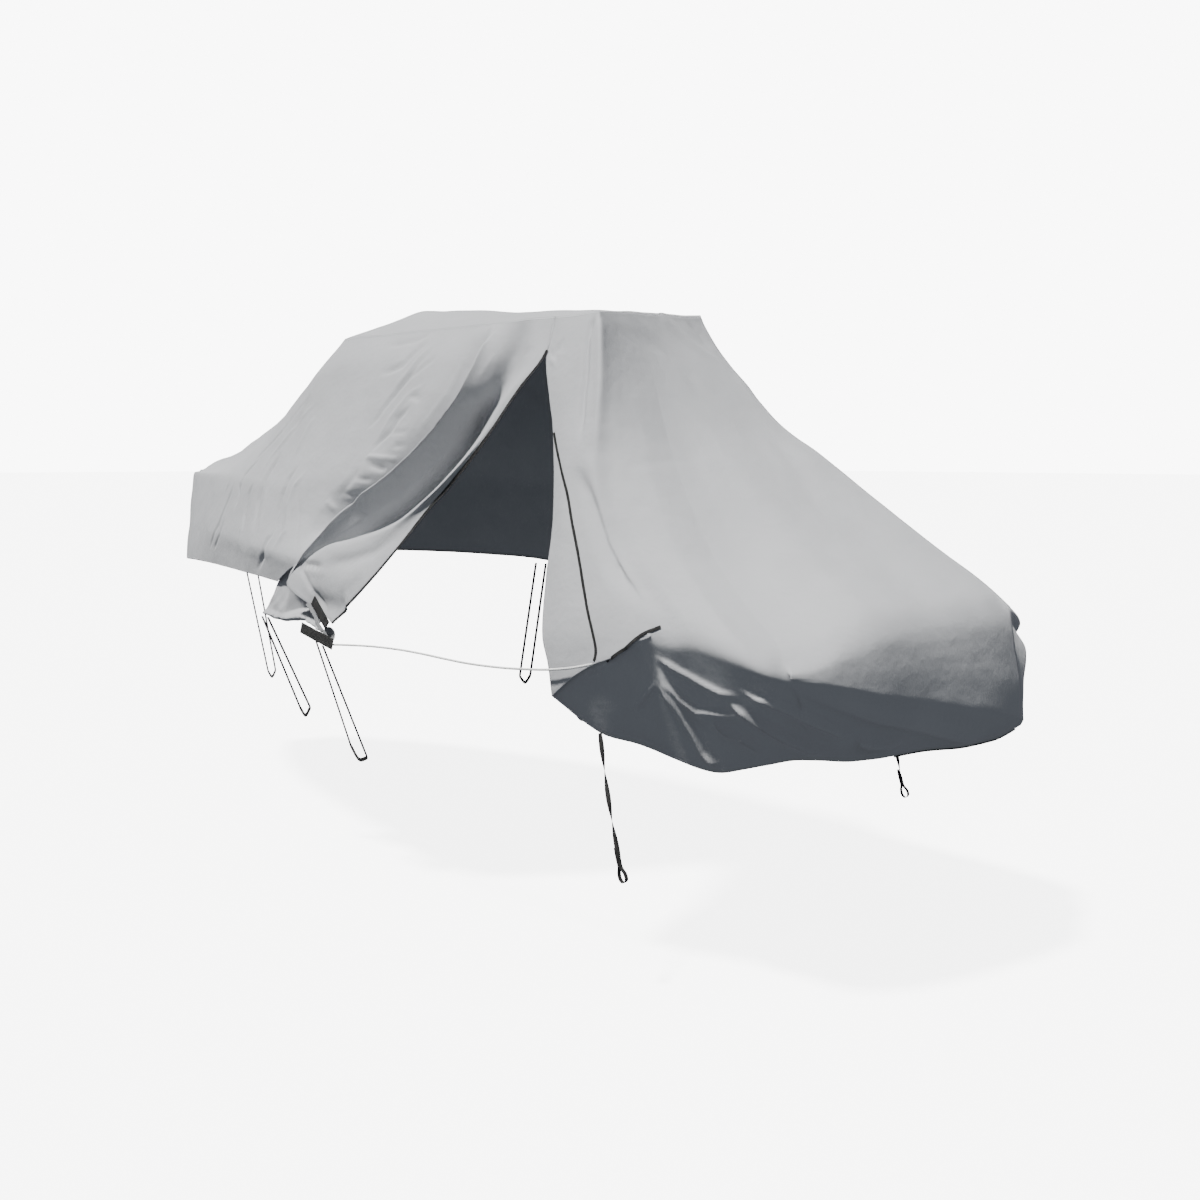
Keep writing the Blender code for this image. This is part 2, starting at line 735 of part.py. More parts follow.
def build_forward_flap(finish, collection):
    """Doorway flap that is pulled forward and folded over itself."""
    crest = chain(line(CREST_UPPER, CREST_UPPER_STEPS), line(CREST_LOWER, CREST_LOWER_STEPS)[:CREST_FLAP_STEPS])
    crest = crest + np.array(FLAP_CLEARANCE)
    trough, lip, edge = (line(table, len(crest)) for table in (FLAP_TROUGH, FLAP_LIP, DOOR_FORWARD_EDGE))
    guides = [crest, (crest + trough) / 2, trough, lip, edge]
    flap = set_back(loft(guides, FLAP_WIDTH), (SEAM_SETBACK,) * 4)
    strip_object("door_flap_forward", flap, CLOTH, finish, collection)


def build_port_quarter(finish, collection):
    """Port side aft of the doorway and the slope down to the motor."""
    side = coons(
        line(DOOR_AFT_EDGE, QUARTER_STEPS),
        line(QUARTER_BREAK, QUARTER_STEPS),
        line(ROOF_PORT_AFT, QUARTER_WIDTH),
        line(AFT_FLAP_FOOT, QUARTER_WIDTH),
    )
    cloth_panel("port_quarter_panel", side, finish, collection)
    face_top = line(FACE_TOP_PORT, FACE_STEPS)
    quarter_top = line(QUARTER_TOP, ROOF_WIDTH + 1 - FACE_STEPS)
    slope = coons(
        line(ROOF_AFT, ROOF_WIDTH),
        chain(quarter_top, face_top),
        line(QUARTER_BREAK, QUARTER_STEPS),
        line(STERN_RIDGE, QUARTER_STEPS),
    )
    cloth_panel("stern_slope_panel", slope, finish, collection)


def build_stern(finish, collection):
    """Upright face over the motor and the skirt drawn in below."""
    face = coons(
        line(FACE_TOP_PORT, FACE_STEPS),
        line(FACE_FOOT_PORT, FACE_STEPS),
        line((FACE_TOP_PORT[0], FACE_FOOT_PORT[0]), FACE_DEPTH),
        line(FACE_SIDE, FACE_DEPTH),
    )
    cloth_panel("stern_face_panel", face, finish, collection)
    top = line(AFT_FLAP_FOOT + QUARTER_TOP[1:] + FACE_FOOT_PORT[1:], SKIRT_STEPS)
    top = top - SKIRT_TUCK * outward(top)
    hem = line(STERN_HEM_PORT, SKIRT_STEPS)
    start = np.linspace(top[0], hem[0], SKIRT_DEPTH)
    end = np.linspace(top[-1], hem[-1], SKIRT_DEPTH)
    cloth_panel("stern_skirt_port", coons(top, hem, start, end), finish, collection)


def build_starboard(finish, collection):
    """The side away from the doorway."""
    port_roof_steps = ROOF_FORWARD_STEPS + ROOF_DOOR_STEPS + QUARTER_WIDTH - 2
    roof_forward = line(ROOF_STARBOARD_FORWARD, port_roof_steps + 1 - STARBOARD_ROOF_AFT_STEPS)
    top = chain(line(RIDGE_STARBOARD, RIDGE_STEPS)[::-1], roof_forward)
    rail = line(mirrored(RAIL_PORT), len(top))
    seam = line(STARBOARD_SEAM, STARBOARD_DEPTH)
    nose = line(mirrored(BOW_NOSE_PORT), STARBOARD_DEPTH)
    upper = coons(top, rail, nose, seam)
    upper[0] = upper[0] + np.array(NOSE_CLEARANCE) * np.array((1.0, -1.0, 1.0))
    cloth_panel("starboard_bow_upper", upper, finish, collection)
    hem = line(mirrored(HEM_BOW), len(top))
    lower_seam = line(STARBOARD_LOWER_SEAM, STARBOARD_SKIRT_DEPTH)
    lower = coons(rail, hem, line(STEM, STARBOARD_SKIRT_DEPTH), lower_seam)
    cloth_panel("starboard_bow_lower", lower, finish, collection)
    long_top = chain(line(ROOF_STARBOARD_AFT, STARBOARD_ROOF_AFT_STEPS), line(STERN_RIDGE, QUARTER_STEPS))
    rail_aft = line(RAIL_STARBOARD_AFT, len(long_top))
    face_top = line(FACE_TOP_STARBOARD, STARBOARD_DEPTH)
    cloth_panel("starboard_side_aft", coons(long_top, rail_aft, seam, face_top), finish, collection)
    face = coons(
        face_top,
        line(FACE_FOOT_STARBOARD, STARBOARD_DEPTH),
        line(FACE_SIDE, FACE_DEPTH),
        line((FACE_TOP_STARBOARD[-1], FACE_FOOT_STARBOARD[-1]), FACE_DEPTH),
    )
    cloth_panel("stern_face_starboard", face, finish, collection)
    face_foot = FACE_FOOT_STARBOARD[-2::-1]
    skirt_top = line(RAIL_STARBOARD_AFT + face_foot, STARBOARD_SKIRT_STEPS)
    skirt_top = skirt_top - SKIRT_TUCK * outward(skirt_top)
    skirt_hem = line(HEM_STARBOARD, STARBOARD_SKIRT_STEPS)
    start = lower_seam - SKIRT_TUCK * outward(lower_seam)
    end = np.linspace(skirt_top[-1], skirt_hem[-1], STARBOARD_SKIRT_DEPTH)
    cloth_panel("starboard_skirt", coons(skirt_top, skirt_hem, start, end), finish, collection)


def build_trim(black, grey, white, collection):
    """Zip halves, tabs, disc and the white hem rope."""
    edge = line(DOOR_FORWARD_EDGE, ZIP_FORWARD_STEPS)[ZIP_FORWARD_FIRST:]
    beyond = edge + np.array(ZIP_FORWARD_OFFSET)
    ribbon("zip_tape_forward", beyond, ZIP_WIDTH, ZIP_THICKNESS, black, collection)
    aft = line(ZIP_AFT, ZIP_AFT_STEPS) + np.array(ZIP_AFT_OFFSET)
    ribbon("zip_tape_aft", aft, ZIP_WIDTH, ZIP_THICKNESS, black, collection)
    foot = line(ZIP_END_TAB, END_TAB_STEPS)
    ribbon("zip_end_tab", foot, END_TAB_WIDTH, TAB_THICKNESS, black, collection)
    upper = line(FLAP_TAB_UPPER, TAB_STEPS)
    ribbon("flap_tab_upper", upper, TAB_WIDTH, TAB_THICKNESS, black, collection, facing=TAB_FACING)
    lower = line(FLAP_TAB_LOWER, TAB_STEPS)
    ribbon("flap_tab_lower", lower, TAB_WIDTH, TAB_THICKNESS, black, collection, facing=TAB_FACING)
    disc, width = tongue(DISC_TAIL_TOP, DISC_CENTRE)
    ribbon("flap_disc", disc, width, DISC_THICKNESS, grey, collection, facing=DISC_FACING)
    cord("hem_rope", line(HEM_ROPE, ROPE_POINTS), ROPE_DIAMETER, white, collection)
    hem = line(STERN_HEM_PORT, SKIRT_STEPS)[HEM_EDGE_FIRST:HEM_EDGE_LAST]
    hem = hem - np.array((0.0, 0.0, HEM_EDGE_DROP))
    cord("stern_hem_edge", hem, HEM_EDGE_DIAMETER, black, collection)


def build_straps(black, collection):
    """Webbing tie-downs, each one loop down from the hem and back."""
    for name, first_top, first_foot, second_foot, second_top in STRAP_LOOPS:
        drop = np.array((0.0, 0.0, STRAP_TURN_DROP))
        turn = tuple((np.array(first_foot) + np.array(second_foot)) / 2 - drop)
        legs = chain(
            line((first_top, first_foot), STRAP_LEG_STEPS),
            line((first_foot, turn, second_foot), STRAP_TURN_STEPS),
            line((second_foot, second_top), STRAP_LEG_STEPS),
        )
        ribbon(name, legs, STRAP_WIDTH, WEBBING, black, collection)
    aft = chain(line(STRAP_AFT, STRAP_AFT_STEPS), line(STRAP_EYE, STRAP_EYE_STEPS))
    turned = STRAP_AFT_STEPS / len(aft)
    ribbon("strap_port_aft", aft, STRAP_WIDTH, WEBBING, black, collection, twist=AFT_TWIST, share=turned)
    eye = line(mirrored(STRAP_EYE), STRAP_EYE_STEPS)
    opposite = chain(line(mirrored(STRAP_AFT), STRAP_AFT_STEPS), eye)
    ribbon("strap_starboard_aft", opposite, STRAP_WIDTH, WEBBING, black, collection,
           twist=-AFT_TWIST, share=turned)


def main():
    """Build the cover."""
    clear_scene()
    collection = bpy.data.collections.new(COLLECTION)
    bpy.context.scene.collection.children.link(collection)
    cloth = material("grey_cover_cloth", CLOTH_LIT, 0.85)
    black = material("black_trim", BLACK_TRIM, 0.70)
    grey = material("grey_reinforcement", GREY_TRIM, 0.75)
    white = material("white_hem_rope", ROPE_WHITE, 0.70)
    build_roof(cloth, collection)
    build_port_bow(cloth, collection)
    build_forward_flap(cloth, collection)
    build_port_quarter(cloth, collection)
    build_stern(cloth, collection)
    build_starboard(cloth, collection)
    build_trim(black, grey, white, collection)
    build_straps(black, collection)


main()
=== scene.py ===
"""Looks of a fitted boat cover: grey cloth in its folds, a zipped doorway, a hem rope and webbing tie-downs.

Metres, +Z up, +X to the bow and +Y to port, with the origin under the middle of the roof.
Seam lines are given as rows of x, y and height above the ground, which lies GROUND_TO_ROOF
below the origin. Creases are placed by pixels of the photograph, which is 1200 pixels wide
and high, and laid on the cloth that the camera sees there.
"""
import logging
import math
from dataclasses import dataclass, field
from enum import Enum
from typing import ClassVar

import bpy
import numpy as np

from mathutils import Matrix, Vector
from mathutils.bvhtree import BVHTree


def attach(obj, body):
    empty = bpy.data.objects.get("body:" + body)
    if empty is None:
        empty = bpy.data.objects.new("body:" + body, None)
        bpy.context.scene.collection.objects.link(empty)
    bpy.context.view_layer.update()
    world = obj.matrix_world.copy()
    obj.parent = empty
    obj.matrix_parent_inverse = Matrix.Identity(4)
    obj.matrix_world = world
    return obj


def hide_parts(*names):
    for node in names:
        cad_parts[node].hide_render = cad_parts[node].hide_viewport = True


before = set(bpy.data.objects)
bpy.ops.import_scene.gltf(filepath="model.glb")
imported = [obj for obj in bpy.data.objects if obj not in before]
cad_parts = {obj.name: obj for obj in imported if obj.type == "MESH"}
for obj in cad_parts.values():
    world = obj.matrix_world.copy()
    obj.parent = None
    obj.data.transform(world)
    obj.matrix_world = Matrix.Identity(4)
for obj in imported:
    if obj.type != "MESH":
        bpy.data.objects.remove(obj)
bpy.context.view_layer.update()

GROUND_TO_ROOF = 3.50
HEART_HEIGHT = 1.90
HEART_AFT = -2.60
HEART_FORWARD = 2.40
PICTURE_SIDE = 1200.0
FAR_AWAY = 9.0
HEM_TURN = 1.15 * math.pi
HEM_ROWS = 6
SHARED_DIGITS = 5
SOFTEN_SHARE = 0.6
SOFTEN_POINTS_AT_ONCE = 40
CREASE_REACH = 3.5
PIXEL_SLACK = 1.0
PIXEL_REACH = 3.0
DEPTH_PER_PIXEL = 0.02
MIX_FIRST_COLOUR = 6
MIX_COLOUR_RESULT = 2
BODY = "root"

Triple = tuple[float, float, float]
Colour = tuple[float, float, float, float]
Material = bpy.types.Material
Socket = bpy.types.NodeSocket
Value = Socket | Colour | Triple | float

log = logging.getLogger("boat_cover")


class Layer(Enum):
    """Panel of the cover that a crease can lie on."""

    ROOF = "roof"
    BOW = "bow slope"
    SIDE = "port side"
    FLAP = "forward flap"
    GATHER = "drawn-in hem"
    QUARTER = "port quarter"
    SLOPE = "aft slope"
    FACE = "stern face"
    SKIRT = "stern skirt"
    STARBOARD = "starboard side"


class Edge(Enum):
    """Side of a panel's grid, where rows run along the first index."""

    FIRST_ROW = "first row"
    LAST_ROW = "last row"
    FIRST_COLUMN = "first column"
    LAST_COLUMN = "last column"


# ---------------- lines on the cover
@dataclass(frozen=True)
class SeamLine:
    """Smooth line through a few rows of x, y and height above the ground."""

    rows: tuple[Triple, ...]

    def mirrored(self) -> "SeamLine":
        """The same line on the other side of the boat."""
        return SeamLine(tuple((x, -y, height) for x, y, height in self.rows))

    def backwards(self) -> "SeamLine":
        """The same line from its other end."""
        return SeamLine(self.rows[::-1])

    def points(self, count: int) -> np.ndarray:
        """Points evenly spaced by chord along a cubic Hermite curve through the rows.

        A row's tangent is the mean of the two slopes beside it, each weighted by its chord.

        Args:
            count: how many points.

        Returns:
            Array of count points in the part's frame.
        """
        knots = np.array(self.rows, dtype=float)
        knots[:, 2] -= GROUND_TO_ROOF
        chords = np.linalg.norm(np.diff(knots, axis=0), axis=1)
        stations = np.concatenate(([0.0], np.cumsum(chords)))
        slopes = np.diff(knots, axis=0) / chords[:, None]
        tangents = np.concatenate((slopes[:1], slopes))
        before = chords[:-1, None]
        after = chords[1:, None]
        tangents[1:-1] = (slopes[:-1] * before + slopes[1:] * after) / (before + after)
        at = np.linspace(0.0, stations[-1], count)
        span = np.clip(np.searchsorted(stations, at, side="right") - 1, 0, len(chords) - 1)
        length = chords[span][:, None]
        t = (at - stations[span])[:, None] / length
        near = (2 * t**3 - 3 * t**2 + 1) * knots[span] + (t**3 - 2 * t**2 + t) * length * tangents[span]
        far = (3 * t**2 - 2 * t**3) * knots[span + 1] + (t**3 - t**2) * length * tangents[span + 1]
        return near + far


ROOF_PORT_FORWARD = SeamLine((
    (1.19, 0.60, 3.36), (-0.40, 0.60, 3.36),
))
ROOF_PORT_DOOR = SeamLine((
    (-0.40, 0.60, 3.36), (-0.86, 0.60, 3.36),
))
ROOF_PORT_AFT = SeamLine((
    (-0.86, 0.60, 3.36), (-1.20, 0.60, 3.36),
))
ROOF_STARBOARD_FORWARD = SeamLine((
    (1.19, -0.60, 3.40), (0.20, -0.60, 3.405),
))
ROOF_STARBOARD_AFT = SeamLine((
    (0.20, -0.60, 3.405), (-0.84, -0.60, 3.45),
))
ROOF_FORWARD = SeamLine((
    (1.19, 0.60, 3.36), (1.15, 0.32, 3.46), (1.08, 0.00, 3.575), (1.15, -0.32, 3.48),
    (1.19, -0.60, 3.40),
))
ROOF_AFT = SeamLine((
    (-1.20, 0.60, 3.36), (-1.10, 0.35, 3.385), (-1.01, 0.10, 3.41), (-0.93, -0.15, 3.42),
    (-0.86, -0.50, 3.44), (-0.84, -0.60, 3.45),
))
RIDGE_PORT = SeamLine((
    (1.19, 0.60, 3.36), (1.50, 0.58, 3.18), (1.93, 0.54, 2.93), (2.37, 0.48, 2.77), (3.01, 0.39, 2.61),
    (3.47, 0.31, 2.55), (3.90, 0.18, 2.49), (4.20, 0.06, 2.475),
))
RIDGE_STARBOARD = SeamLine((
    (1.19, -0.60, 3.40), (1.50, -0.58, 3.21), (1.93, -0.54, 2.95), (2.37, -0.48, 2.78),
    (3.01, -0.39, 2.61), (3.47, -0.31, 2.55), (3.90, -0.18, 2.49), (4.20, -0.06, 2.475),
))
BOW_NOSE_PORT = SeamLine((
    (4.20, 0.06, 2.475), (4.27, 0.00, 2.44),
))
RAIL_PORT = SeamLine((
    (4.27, 0.00, 2.44), (4.14, 0.12, 2.45), (3.88, 0.28, 2.46), (3.48, 0.49, 2.47), (2.88, 0.70, 2.47),
    (2.18, 0.90, 2.45), (1.68, 1.01, 2.42), (1.28, 1.06, 2.395), (0.98, 1.08, 2.38),
    (0.72, 1.08, 2.365), (0.40, 1.10, 2.33),
))
STEM = SeamLine((
    (4.27, 0.00, 2.44), (4.30, 0.00, 2.22), (4.31, 0.00, 2.05), (4.37, 0.00, 1.90), (4.40, 0.00, 1.75),
))
HEM_BOW = SeamLine((
    (4.40, 0.00, 1.75), (4.18, 0.18, 1.765), (3.88, 0.37, 1.78), (3.48, 0.58, 1.80), (2.88, 0.81, 1.83),
    (2.18, 1.00, 1.84), (1.68, 1.12, 1.835), (1.40, 1.165, 1.83), (1.10, 1.20, 1.81),
))
CREST_UPPER = SeamLine((
    (-0.40, 0.60, 3.36), (-0.38, 0.76, 3.17), (-0.34, 0.85, 2.98), (-0.24, 0.92, 2.80),
    (-0.04, 1.00, 2.60), (0.20, 1.07, 2.43), (0.40, 1.10, 2.33),
))
CREST_LOWER = SeamLine((
    (0.40, 1.10, 2.33), (0.60, 1.18, 2.14), (0.70, 1.24, 2.02), (0.74, 1.26, 1.96), (0.92, 1.23, 1.89),
    (1.10, 1.20, 1.81),
))
DOOR_AFT_EDGE = SeamLine((
    (-0.86, 0.60, 3.36), (-0.88, 0.69, 3.15), (-0.99, 0.77, 2.94), (-1.11, 0.85, 2.73),
    (-1.24, 0.96, 2.44), (-1.33, 1.06, 2.20), (-1.39, 1.16, 1.95), (-1.46, 1.24, 1.71),
    (-1.52, 1.26, 1.58), (-1.55, 1.26, 1.43),
))
AFT_FLAP_FOOT = SeamLine((
    (-1.55, 1.26, 1.43), (-1.72, 1.27, 1.55), (-1.85, 1.265, 1.62), (-1.98, 1.26, 1.67),
    (-2.08, 1.24, 1.74), (-2.17, 1.22, 1.78),
))
QUARTER_BREAK = SeamLine((
    (-1.20, 0.60, 3.36), (-1.25, 0.64, 3.28), (-1.35, 0.73, 3.03), (-1.51, 0.93, 2.53),
    (-1.71, 1.07, 2.18), (-1.91, 1.13, 2.01), (-2.12, 1.19, 1.87), (-2.17, 1.22, 1.78),
))
STERN_RIDGE = SeamLine((
    (-0.84, -0.60, 3.45), (-0.86, -0.60, 3.41), (-0.97, -0.59, 3.27), (-1.10, -0.58, 3.14),
    (-1.32, -0.56, 2.94), (-1.56, -0.54, 2.75), (-1.86, -0.51, 2.59), (-2.25, -0.47, 2.36),
    (-2.66, -0.41, 2.13), (-2.95, -0.38, 1.97), (-3.10, -0.36, 1.87),
))
FACE_TOP_PORT = SeamLine((
    (-2.83, 1.02, 1.655), (-2.89, 0.88, 1.69), (-2.94, 0.73, 1.77), (-2.98, 0.56, 1.83),
    (-3.05, 0.19, 1.85), (-3.09, -0.15, 1.875), (-3.10, -0.36, 1.87),
))
QUARTER_TOP = SeamLine((
    (-2.17, 1.22, 1.78), (-2.28, 1.205, 1.76), (-2.41, 1.19, 1.77), (-2.65, 1.17, 1.72),
    (-2.77, 1.11, 1.67), (-2.83, 1.02, 1.655),
))
FACE_TOP_STARBOARD = SeamLine((
    (-3.10, -0.36, 1.87), (-2.94, -0.61, 1.81), (-2.82, -0.87, 1.72), (-2.75, -1.0, 1.655),
))
FACE_FOOT_PORT = SeamLine((
    (-2.83, 1.02, 1.635), (-2.899, 0.892, 1.612), (-2.977, 0.654, 1.555), (-3.046, 0.345, 1.485),
    (-3.13, -0.183, 1.384), (-3.13, -0.47, 1.3),
))
FACE_FOOT_STARBOARD = SeamLine((
    (-3.13, -0.47, 1.30), (-3.04, -0.64, 1.44), (-2.92, -0.88, 1.59), (-2.75, -1.0, 1.635),
))
FACE_SIDE = SeamLine((
    (-3.1, -0.36, 1.87), (-3.115, -0.365, 1.75), (-3.125, -0.38, 1.63), (-3.135, -0.41, 1.5),
    (-3.13, -0.47, 1.3),
))
STERN_CORNER_PORT = SeamLine((FACE_TOP_PORT.rows[0], FACE_FOOT_PORT.rows[0]))
STERN_CORNER_STARBOARD = SeamLine((FACE_TOP_STARBOARD.rows[-1], FACE_FOOT_STARBOARD.rows[-1]))
STERN_HEM_PORT = SeamLine((
    (-1.53, 1.24, 1.42), (-1.737, 1.119, 1.257), (-1.891, 1.018, 1.207), (-2.071, 0.929, 1.144),
    (-2.302, 0.903, 1.115), (-2.464, 0.892, 1.152), (-2.57, 0.862, 1.182), (-2.682, 0.768, 1.213),
    (-2.83, 0.54, 1.2), (-2.94, 0.12, 1.205), (-3.06, -0.34, 1.21), (-3.11, -0.48, 1.27),
))
RAIL_STARBOARD_AFT = SeamLine((
    (0.40, -1.10, 2.33), (0.20, -1.13, 2.18), (-0.05, -1.17, 1.99), (-0.35, -1.22, 1.83),
    (-0.75, -1.25, 1.76), (-1.50, -1.25, 1.74), (-2.20, -1.22, 1.75), (-2.60, -1.17, 1.73),
    (-2.77, -1.11, 1.68), (-2.75, -1.0, 1.655),
))
STARBOARD_SEAM = SeamLine((
    (0.20, -0.60, 3.405), (0.25, -0.76, 3.08), (0.32, -0.93, 2.70), (0.40, -1.10, 2.33),
))
HEM_STARBOARD = SeamLine((
    (1.10, -1.20, 1.81), (0.70, -1.23, 1.66), (0.38, -1.24, 1.53), (-0.40, -1.24, 1.51),
    (-1.20, -1.23, 1.50), (-1.78, -1.14, 1.265), (-2.21, -1.09, 1.20), (-2.50, -1.03, 1.18),
    (-2.67, -0.94, 1.21), (-2.78, -0.80, 1.23), (-2.98, -0.58, 1.24), (-3.11, -0.48, 1.27),
))
GATHER_TOP = SeamLine((
    (1.12, 1.165, 1.83), (0.95, 1.185, 1.915), (0.835, 1.19, 1.965), (0.715, 1.17, 1.9),
))
GATHER_FOOT = SeamLine((
    (1.27, 1.19, 1.592), (1.1, 1.21, 1.574), (0.96, 1.215, 1.575), (0.84, 1.2, 1.59), (0.68, 1.225, 1.585),
    (0.472, 1.285, 1.55),
))
FLAP_TROUGH = SeamLine((
    (-0.6, 0.6, 3.36), (-0.564, 0.628, 3.135), (-0.465, 0.653, 2.949), (-0.336, 0.633, 2.827),
    (-0.286, 0.643, 2.748), (-0.218, 0.709, 2.587), (-0.076, 0.783, 2.418), (0.068, 0.865, 2.293),
    (0.262, 0.949, 2.176), (0.464, 1.053, 2.082), (0.619, 1.143, 2.024), (0.717, 1.224, 1.964),
    (0.8, 1.262, 1.9), (0.832, 1.285, 1.806),
))
FLAP_LIP = SeamLine((
    (-0.72, 0.6, 3.36), (-0.74, 0.71, 3.11), (-0.65, 0.82, 2.91), (-0.58, 0.9, 2.73),
    (-0.5, 1.01, 2.55), (-0.36, 1.12, 2.37), (-0.14, 1.19, 2.22), (0.22, 1.23, 2.11),
    (0.46, 1.24, 2.05), (0.63, 1.26, 1.93), (0.6, 1.285, 1.82), (0.559, 1.3, 1.712),
))
DOOR_FORWARD_EDGE = SeamLine((
    (-0.85, 0.60, 3.36), (-0.87, 0.70, 3.145), (-0.77, 0.79, 2.97), (-0.64, 0.93, 2.69),
    (-0.50, 1.05, 2.45), (-0.37, 1.14, 2.28), (-0.10, 1.31, 1.91), (0.06, 1.35, 1.77),
    (0.27, 1.35, 1.63),
))
GATHER_FORWARD = SeamLine((
    (1.12, 1.165, 1.83), (1.2, 1.19, 1.695), (1.27, 1.19, 1.592),
))
GATHER_AFT = SeamLine((
    (0.715, 1.17, 1.9), (0.655, 1.16, 1.76), (0.6, 1.19, 1.68), (0.53, 1.265, 1.6), (0.472, 1.285, 1.55),
))
STARBOARD_LOWER_SEAM = SeamLine((
    (0.40, -1.10, 2.33), (0.72, -1.17, 2.08), (1.10, -1.20, 1.81),
))
FLAP_TAB_UPPER = SeamLine((
    (0.484, 1.326, 1.751), (0.381, 1.344, 1.683), (0.293, 1.354, 1.615),
))
FLAP_TAB_LOWER = SeamLine((
    (0.58, 1.352, 1.58), (0.403, 1.356, 1.545), (0.23, 1.36, 1.512),
))
FLAP_STRIP = SeamLine((
    (0.571, 1.311, 1.722), (0.472, 1.324, 1.661), (0.432, 1.328, 1.609), (0.38, 1.33, 1.57),
))
HEM_ROPE = SeamLine((
    (0.264, 1.35, 1.507), (0.137, 1.338, 1.517), (-0.07, 1.305, 1.527), (-0.3, 1.285, 1.531),
    (-0.52, 1.285, 1.53), (-0.73, 1.285, 1.524), (-0.93, 1.285, 1.521), (-1.19, 1.285, 1.529),
    (-1.4, 1.29, 1.545), (-1.56, 1.296, 1.562), (-1.7, 1.3, 1.584), (-1.8, 1.302, 1.605),
    (-1.88, 1.302, 1.625),
))
STRAP_AFT = SeamLine((
    (-1.76, 1.135, 1.255), (-1.835, 1.17, 1.05), (-1.905, 1.195, 0.86), (-1.955, 1.195, 0.68),
))
STRAP_EYE = SeamLine((
    (-1.955, 1.195, 0.680), (-1.969, 1.195, 0.640), (-1.998, 1.195, 0.612), (-2.005, 1.195, 0.585),
    (-1.986, 1.195, 0.568), (-1.964, 1.195, 0.582), (-1.955, 1.195, 0.612), (-1.957, 1.195, 0.640),
    (-1.944, 1.195, 0.680), (-1.930, 1.195, 0.730),
))


# ---------------- surfaces
def eased(share: np.ndarray) -> np.ndarray:
    """Share from 0 to 1 with a soft start and a soft end: 3 share**2 - 2 share**3."""
    return share**2 * (3 - 2 * share)


def travelled(path: np.ndarray) -> np.ndarray:
    """Length of a path from its start to each of its points."""
    return np.concatenate(([0.0], np.cumsum(np.linalg.norm(np.diff(path, axis=0), axis=1))))


def between(table: np.ndarray, runs: np.ndarray, at: np.ndarray) -> np.ndarray:
    """Rows of a table of points or directions, interpolated where its runs reach some lengths."""
    return np.stack([np.interp(at, runs, table[:, k]) for k in range(3)], axis=-1)


def chain(*lines: np.ndarray) -> np.ndarray:
    """One row of points from several that each start where the last one ends."""
    return np.concatenate([lines[0]] + [line[1:] for line in lines[1:]])


def unit(vectors: np.ndarray) -> np.ndarray:
    """Vectors scaled to length one, or left at nothing where they have none."""
    return vectors / np.maximum(np.linalg.norm(vectors, axis=-1, keepdims=True), 1e-9)


def coons(upper: np.ndarray, lower: np.ndarray, first: np.ndarray, last: np.ndarray) -> np.ndarray:
    """Surface between four seam lines: both ruled surfaces added, less the corners' plane.

    Args:
        upper: points along the surface's upper side.
        lower: as many points along its lower side.
        first: points from the upper to the lower side at the start.
        last: as many points at the end.

    Returns:
        Grid of points, its first index along the upper side.
    """
    u = np.linspace(0.0, 1.0, len(upper))[:, None, None]
    v = np.linspace(0.0, 1.0, len(first))[None, :, None]
    between_sides = (1 - v) * upper[:, None] + v * lower[:, None]
    between_ends = (1 - u) * first[None] + u * last[None]
    corners = (1 - u) * (1 - v) * upper[0] + u * (1 - v) * upper[-1]
    corners = corners + (1 - u) * v * lower[0] + u * v * lower[-1]
    return between_sides + between_ends - corners


def loft(guides: list[np.ndarray], across: int) -> np.ndarray:
    """Surface through several lines, by cubic Hermite curves from each line to the next.

    Args:
        guides: rows of as many points each.
        across: how many points the surface has across the guides.

    Returns:
        Grid of points, its first index along the guides.
    """
    lines = np.array(guides)
    position = np.linspace(0.0, len(lines) - 1.0, across)
    span = np.clip(position.astype(int), 0, len(lines) - 2)
    t = (position - span)[None, :, None]
    slope = np.gradient(lines, axis=0)
    near = np.moveaxis(lines[span], 0, 1)
    far = np.moveaxis(lines[span + 1], 0, 1)
    leave = np.moveaxis(slope[span], 0, 1)
    reach = np.moveaxis(slope[span + 1], 0, 1)
    surface = (2 * t**3 - 3 * t**2 + 1) * near + (t**3 - 2 * t**2 + t) * leave
    return surface + (3 * t**2 - 2 * t**3) * far + (t**3 - t**2) * reach


def outward(points: np.ndarray) -> np.ndarray:
    """Unit directions away from the heart line, which runs fore and aft inside the cover.

    Args:
        points: places on or near the cover.

    Returns:
        One direction for each point.
    """
    heart = np.zeros_like(points)
    heart[..., 0] = np.clip(points[..., 0], HEART_AFT, HEART_FORWARD)
    heart[..., 2] = HEART_HEIGHT - GROUND_TO_ROOF
    return unit(points - heart)


def turned_in(grid: np.ndarray, edge: Edge, radius: float = 0.0045, steps: int = HEM_ROWS) -> np.ndarray:
    """Grid with one side rolled into a hem: a half turn of a small circle, towards the inside.

    Args:
        grid: the panel's points.
        edge: the side that is hemmed.
        radius: the roll's radius.
        steps: rows of points round the roll.

    Returns:
        The grid with the roll's points added along that side.
    """
    flipped = edge in (Edge.FIRST_ROW, Edge.FIRST_COLUMN)
    turned = edge in (Edge.FIRST_COLUMN, Edge.LAST_COLUMN)
    rows = np.swapaxes(grid, 0, 1) if turned else grid
    rows = rows[::-1] if flipped else rows
    onward = unit(rows[-1] - rows[-2])
    inward = -outward(rows[-1])
    inward = unit(inward - onward * np.sum(inward * onward, axis=-1, keepdims=True))
    angle = np.linspace(0.0, HEM_TURN, steps + 1)[1:, None, None]
    roll = rows[-1][None] + radius * (onward * np.sin(angle) + inward * (1 - np.cos(angle)))
    rows = np.concatenate((rows, roll))
    rows = rows[::-1] if flipped else rows
    return np.swapaxes(rows, 0, 1) if turned else rows


